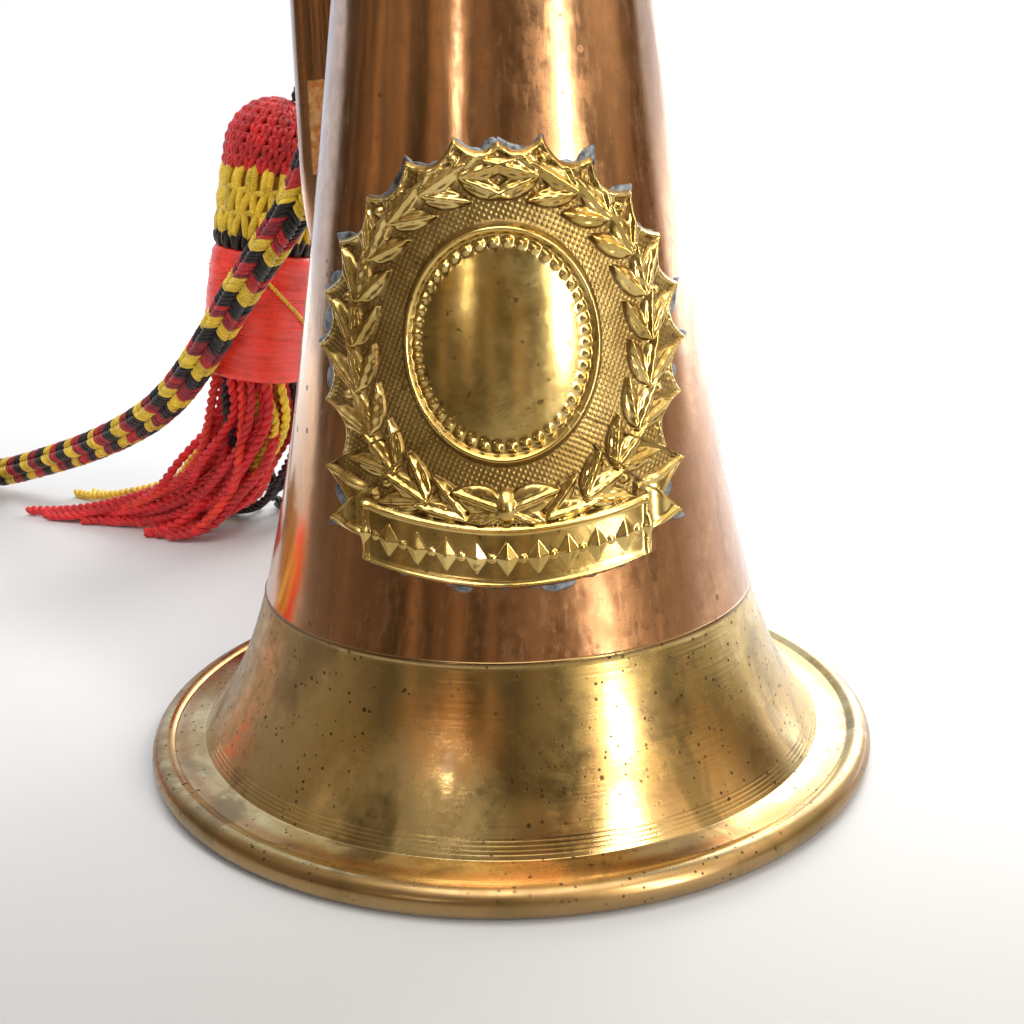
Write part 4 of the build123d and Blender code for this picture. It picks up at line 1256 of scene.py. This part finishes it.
def make_badge():
    theta = np.linspace(0, TURN, 1320, endpoint=False)
    reach = badge_outline(theta)
    reach = sum(np.roll(reach, k) for k in (-1, 0, 1)) / 3
    share = np.concatenate([np.linspace(0.004, 0.955, 215), np.linspace(0.96, 1.0, 24)])[:, None]
    x, z = share * reach * np.cos(theta), BADGE_CENTRE + share * reach * np.sin(theta)
    base = bell_radius(z * MM) / MM
    flat = base * np.arcsin(np.clip(x / base, -1, 1))
    from_edge = (1 - share) * reach
    high = badge_relief(flat, z)
    soft = np.clip(from_edge / 1.5, 0, 1)
    high = high * soft + 0.55 * np.exp(-(((from_edge - 0.75) / 0.5) ** 2))
    high *= np.sqrt(np.clip(from_edge / 0.35, 0, 1))
    slope = np.abs(np.gradient(high, axis=0)) / 0.17
    # raised parts light from wear; low and steep parts dark, partly dirt and partly painted shade in the recesses
    worn = np.clip(0.25 + 0.62 * high - 0.30 * slope, 0, 1)[..., None]
    top = on_bell(x, z, 0.75 + high)
    under_share = np.linspace(1.0, 0.02, 12)[:, None]
    ux, uz = under_share * reach * np.cos(theta), BADGE_CENTRE + under_share * reach * np.sin(theta)
    under = on_bell(ux, uz, 0.36 + 0 * ux)
    batch = Batch()
    rows = np.concatenate([top, under])
    # the plate's underside takes the darkest value: painted shade under the plate
    tint = np.concatenate([np.repeat(worn, 3, axis=-1), np.full((12, len(theta), 3), 0.1)])
    batch.grid(rows, tint)
    keep(batch.make("wreath_badge", badge_brass()), "brass_badge", "badge_plate")

    rng = np.random.default_rng(8)
    smear = np.zeros(len(theta))
    for _ in range(24):
        place, wide, size = rng.uniform(0, TURN), rng.uniform(0.03, 0.09), rng.uniform(0.7, 2.3)
        gap = np.abs((theta - place + math.pi) % TURN - math.pi)
        smear = np.maximum(smear, size * np.clip(1 - (gap / wide) ** 2, 0, 1) ** 0.35)
    ragged = 0.28 + 0.16 * np.sin(theta * 37 + 2 * np.sin(theta * 5)) + 0.12 * np.sin(theta * 91 + 1)
    margin = np.maximum(ragged, smear)
    steps = np.linspace(0, 1, 14)[:, None]
    radius = reach - 1.6 + (1.6 + margin) * steps
    sx, sz = radius * np.cos(theta), BADGE_CENTRE + radius * np.sin(theta)
    edge = np.sqrt(np.clip(1 - steps**6, 0, 1))
    lump = 0.5 + 0.25 * np.sin(theta * 53 + steps * 4) + 0.25 * np.sin(theta * 21 + 3)
    thick = 0.05 + (0.22 + 0.26 * lump) * edge
    skin = on_bell(sx, sz, thick + 0 * sx)
    back = on_bell(sx[::-1], sz[::-1], 0.02 + 0 * sx)
    batch = Batch()
    batch.grid(np.concatenate([skin, back]), (1, 1, 1), ring=True)
    keep(batch.make("solder_seam", solder()), "solder", "badge_solder")


def badge_brass():
    """Stamped brass, bright where hands have rubbed it, and brown in the low and steep parts: partly dirt and partly
    painted shade.
    """
    g = surface("stamped_brass")
    worn = g.attribute("tint").outputs["Fac"]
    fine = g.noise(420, 4, 0.6)
    smear = g.noise(70, 4, 0.6, 0.5)
    colour = g.mix(g.range(smear, 0.38, 0.62), (0.76, 0.565, 0.21), (0.50, 0.34, 0.10))
    # partly dirt and partly painted shade: brown in the low and steep parts
    dirt_and_shade = g.range(g.plus(worn, g.times(fine, 0.30)), 0.26, 0.74, 1, 0)
    colour = g.over(colour, dirt_and_shade, 0.85, (0.17, 0.095, 0.028))
    spots = g.range(g.noise(700, 2, 0.4), 0.66, 0.72)
    colour = g.over(colour, spots, 0.6, (0.12, 0.07, 0.03))
    rough = g.plus(g.range(dirt_and_shade, 0, 1, 0.20, 0.42), g.range(fine, 0.4, 0.7, 0, 0.06))
    normal = g.bump(fine, 0.16, 0.00015)
    return g.finish(colour, rough, normal, Metallic=1.0)


make_badge()


# ---- finishes of the CAD pieces --------------------------------------------------------------------
def paint(material, *nodes):
    for name in nodes:
        node = frame["nodes"][name]
        node.data.materials.clear()
        node.data.materials.append(material)


ferrules = [name for name in frame["nodes"] if name.endswith("_ferrule")]
tubes = [
    "leadpipe", "lower_bow_small", "rear_tube_small", "upper_bow_small", "front_tube_middle",
    "lower_bow_large", "rear_tube_large", "upper_bow_large",
]
stays = [name for name in frame["nodes"] if name.startswith("stay_") and name != "stay_web"]
paint(copper("aged_copper"), "bell_tube", *tubes)
paint(copper("aged_copper_bared", patch=True), "lower_bow_small")
paint(brass("worn_brass_fittings", rough=0.22, pits=0.7), "mouthpiece_receiver", *ferrules, *stays)
paint(rough_web(), "stay_web")
rings = "upper_ring_lug", "lower_ring_lug", "upper_cord_ring", "lower_cord_ring"
paint(brass("ring_brass", rough=0.25), *rings)
paint(brass("mouthpiece_brass", rough=0.13, turned=0.2, pits=0.3), "mouthpiece")
paint(iron(), "rim_wire")
paint(wood(), "tassel_a_mould", "tassel_b_mould")


# ---- table, backdrop and light ---------------------------------------------------------------------
def make_floor():
    """A pale table top, with painted shade towards the front, a painted dark reflection on the left and a painted glow
    further back.
    """
    g = surface("pale_table")
    colour = g.mix(g.noise(9, 3, 0.5), (0.69, 0.69, 0.685), (0.73, 0.73, 0.725))
    # painted shade: the table darkens towards the front
    colour = g.mix(g.range(g.axis("Y"), 0.04, -0.12), colour, (0.46, 0.45, 0.43))
    # painted reflection: on the left the table turns dark brown only where the metal reflects it, not where it is seen
    # directly
    painted_dark_floor_reflection = g.times(g.range(g.axis("X"), -0.12, -0.25), g.node("LightPath").outputs["Is Glossy Ray"])
    slant = g.plus(g.axis("X"), g.times(g.axis("Y"), 1.9))
    painted_dark_floor_reflection = g.times(painted_dark_floor_reflection, g.range(slant, -0.08, -0.28))
    colour = g.over(colour, painted_dark_floor_reflection, 0.85, (0.09, 0.065, 0.04))
    material = g.finish(colour, 0.6, g.bump(g.noise(600, 3), 0.05, 0.0002))
    # painted light: the table glows more further back, except where the painted dark reflection is
    far = g.times(g.range(g.axis("Y"), 0.05, 1.1), g.math("SUBTRACT", 1.0, painted_dark_floor_reflection))
    g.put(g.shader.inputs["Emission Strength"], far)
    g.shader.inputs["Emission Color"].default_value = (1, 1, 1, 1)
    mesh = bpy.data.meshes.new("table_top")
    side = 4.0
    corners = [(-side, -side, 0), (side, -side, 0), (side, side, 0), (-side, side, 0)]
    mesh.from_pydata(corners, [], [(0, 1, 2, 3)])
    mesh.materials.append(material)
    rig.stage(link(bpy.data.objects.new("table_top", mesh)))


def make_world():
    """A pale room. The metal mirrors it as bright behind the bugle, and dim and uneven in front."""
    world = bpy.data.worlds.new("room")
    bpy.context.scene.world = world
    g = Graph(world, "Background", "Generated")
    x, y, z = (g.axis(letter) for letter in "XYZ")

    def towards(azimuth, elevation, inner, outer):
        """1 within inner degrees of a direction, 0 beyond outer."""
        dot = g.node("VectorMath", operation="DOT_PRODUCT")
        g.put(dot.inputs[0], g.place)
        dot.inputs[1].default_value = facing(azimuth, elevation)
        return g.range(dot.outputs["Value"], math.cos(math.radians(outer)), math.cos(math.radians(inner)))

    uneven = g.noise(4.5, 3, 0.5, 0, g.stretch((1, 1, 0.25)))
    bars = g.noise(9.0, 2, 0.5, 0, g.stretch((1, 1, 0.05)))
    front = g.mix(g.range(z, 0.15, 0.80), (0.16, 0.115, 0.075), (0.60, 0.55, 0.46))
    shaded = g.mix(1.0, front, (0.35, 0.33, 0.3), "MULTIPLY")
    front = g.mix(g.range(uneven, 0.36, 0.66), shaded, front)
    front = g.over(front, towards(12, 34, 10, 24), 0.88, (0.045, 0.036, 0.020))
    front = g.over(front, g.range(bars, 0.50, 0.62), 0.75, (0.66, 0.42, 0.22))
    front = g.over(front, g.range(bars, 0.46, 0.36), 0.7, (0.05, 0.05, 0.025))
    for azimuth, elevation, inner, outer, weight, colour in (
        (82, 42, 8, 34, 0.75, (1.5, 1.3, 1.0)),
        (102, 20, 6, 15, 0.5, (0.09, 0.065, 0.045)),
        (104, 44, 8, 20, 0.9, (2.0, 1.75, 1.3)),
        (75, 76, 8, 22, 0.7, (1.5, 1.3, 0.95)),
        (-114, 14, 8, 22, 0.5, (0.05, 0.04, 0.03)),
    ):
        front = g.over(front, towards(azimuth, elevation, inner, outer), weight, colour)
    skew = g.plus(y, g.times(g.range(x, -0.3, 0.3), 0.11))
    room = g.mix(g.range(skew, 0.46, 0.54), front, (0.80, 0.92, 1.10))
    low_right = g.times(g.range(y, 0.38, 0.50), g.range(z, 0.15, 0.05))
    bright = g.math("MAXIMUM", low_right, g.range(y, 0.72, 0.86))
    room = g.mix(g.times(g.range(x, 0.05, 0.4), bright), room, (4.0, 3.9, 3.8))
    sight = g.node("LightPath")
    seen = g.mix(sight.outputs["Is Glossy Ray"], (0.62, 0.63, 0.65), room)
    seen = g.mix(sight.outputs["Is Camera Ray"], seen, (1.0, 1.0, 1.0))
    g.put(g.shader.inputs["Color"], seen)


LIGHTS_AIM = Vector((0, 0, 0.08))  # on the bell's axis, at the badge's height


def area_light(name, azimuth, elevation, distance, size, power, colour=(1, 1, 1)):
    """A soft light that looks at the bell. Azimuth 0 is in front of the badge, and 90 on +X."""
    data = bpy.data.lights.new(name, "AREA")
    data.shape = "RECTANGLE"
    data.size, data.size_y = size
    data.energy = power
    data.color = colour
    light = link(bpy.data.objects.new(name, data))
    away = facing(azimuth, elevation)
    light.location = LIGHTS_AIM + away * distance
    light.rotation_mode = "QUATERNION"
    light.rotation_quaternion = away.to_track_quat("Z", "Y")
    light.visible_camera = False


make_floor()
make_world()
area_light("window_low", 43, 13, 1.5, (0.20, 0.32), 7.0, (1.0, 0.98, 0.95))
area_light("window_high", 43, 35, 1.5, (0.22, 0.60), 7.5, (1.0, 0.98, 0.95))
area_light("window_left", -25, 21.5, 1.8, (0.08, 0.22), 0.75, (1.0, 0.93, 0.82))
area_light("window_back", 148, 30, 1.7, (0.8, 0.8), 13, (1.0, 0.97, 0.93))
area_light("ceiling", 10, 80, 1.6, (1.0, 1.0), 14)

bpy.context.scene.view_settings.view_transform = "Standard"

visual_low, visual_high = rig.bounds()
with open("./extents.json", "w") as f:
    boxes = {"cad": [list(cad_low), list(cad_high)], "visual": [list(visual_low), list(visual_high)]}
    json.dump(boxes, f, indent=1)
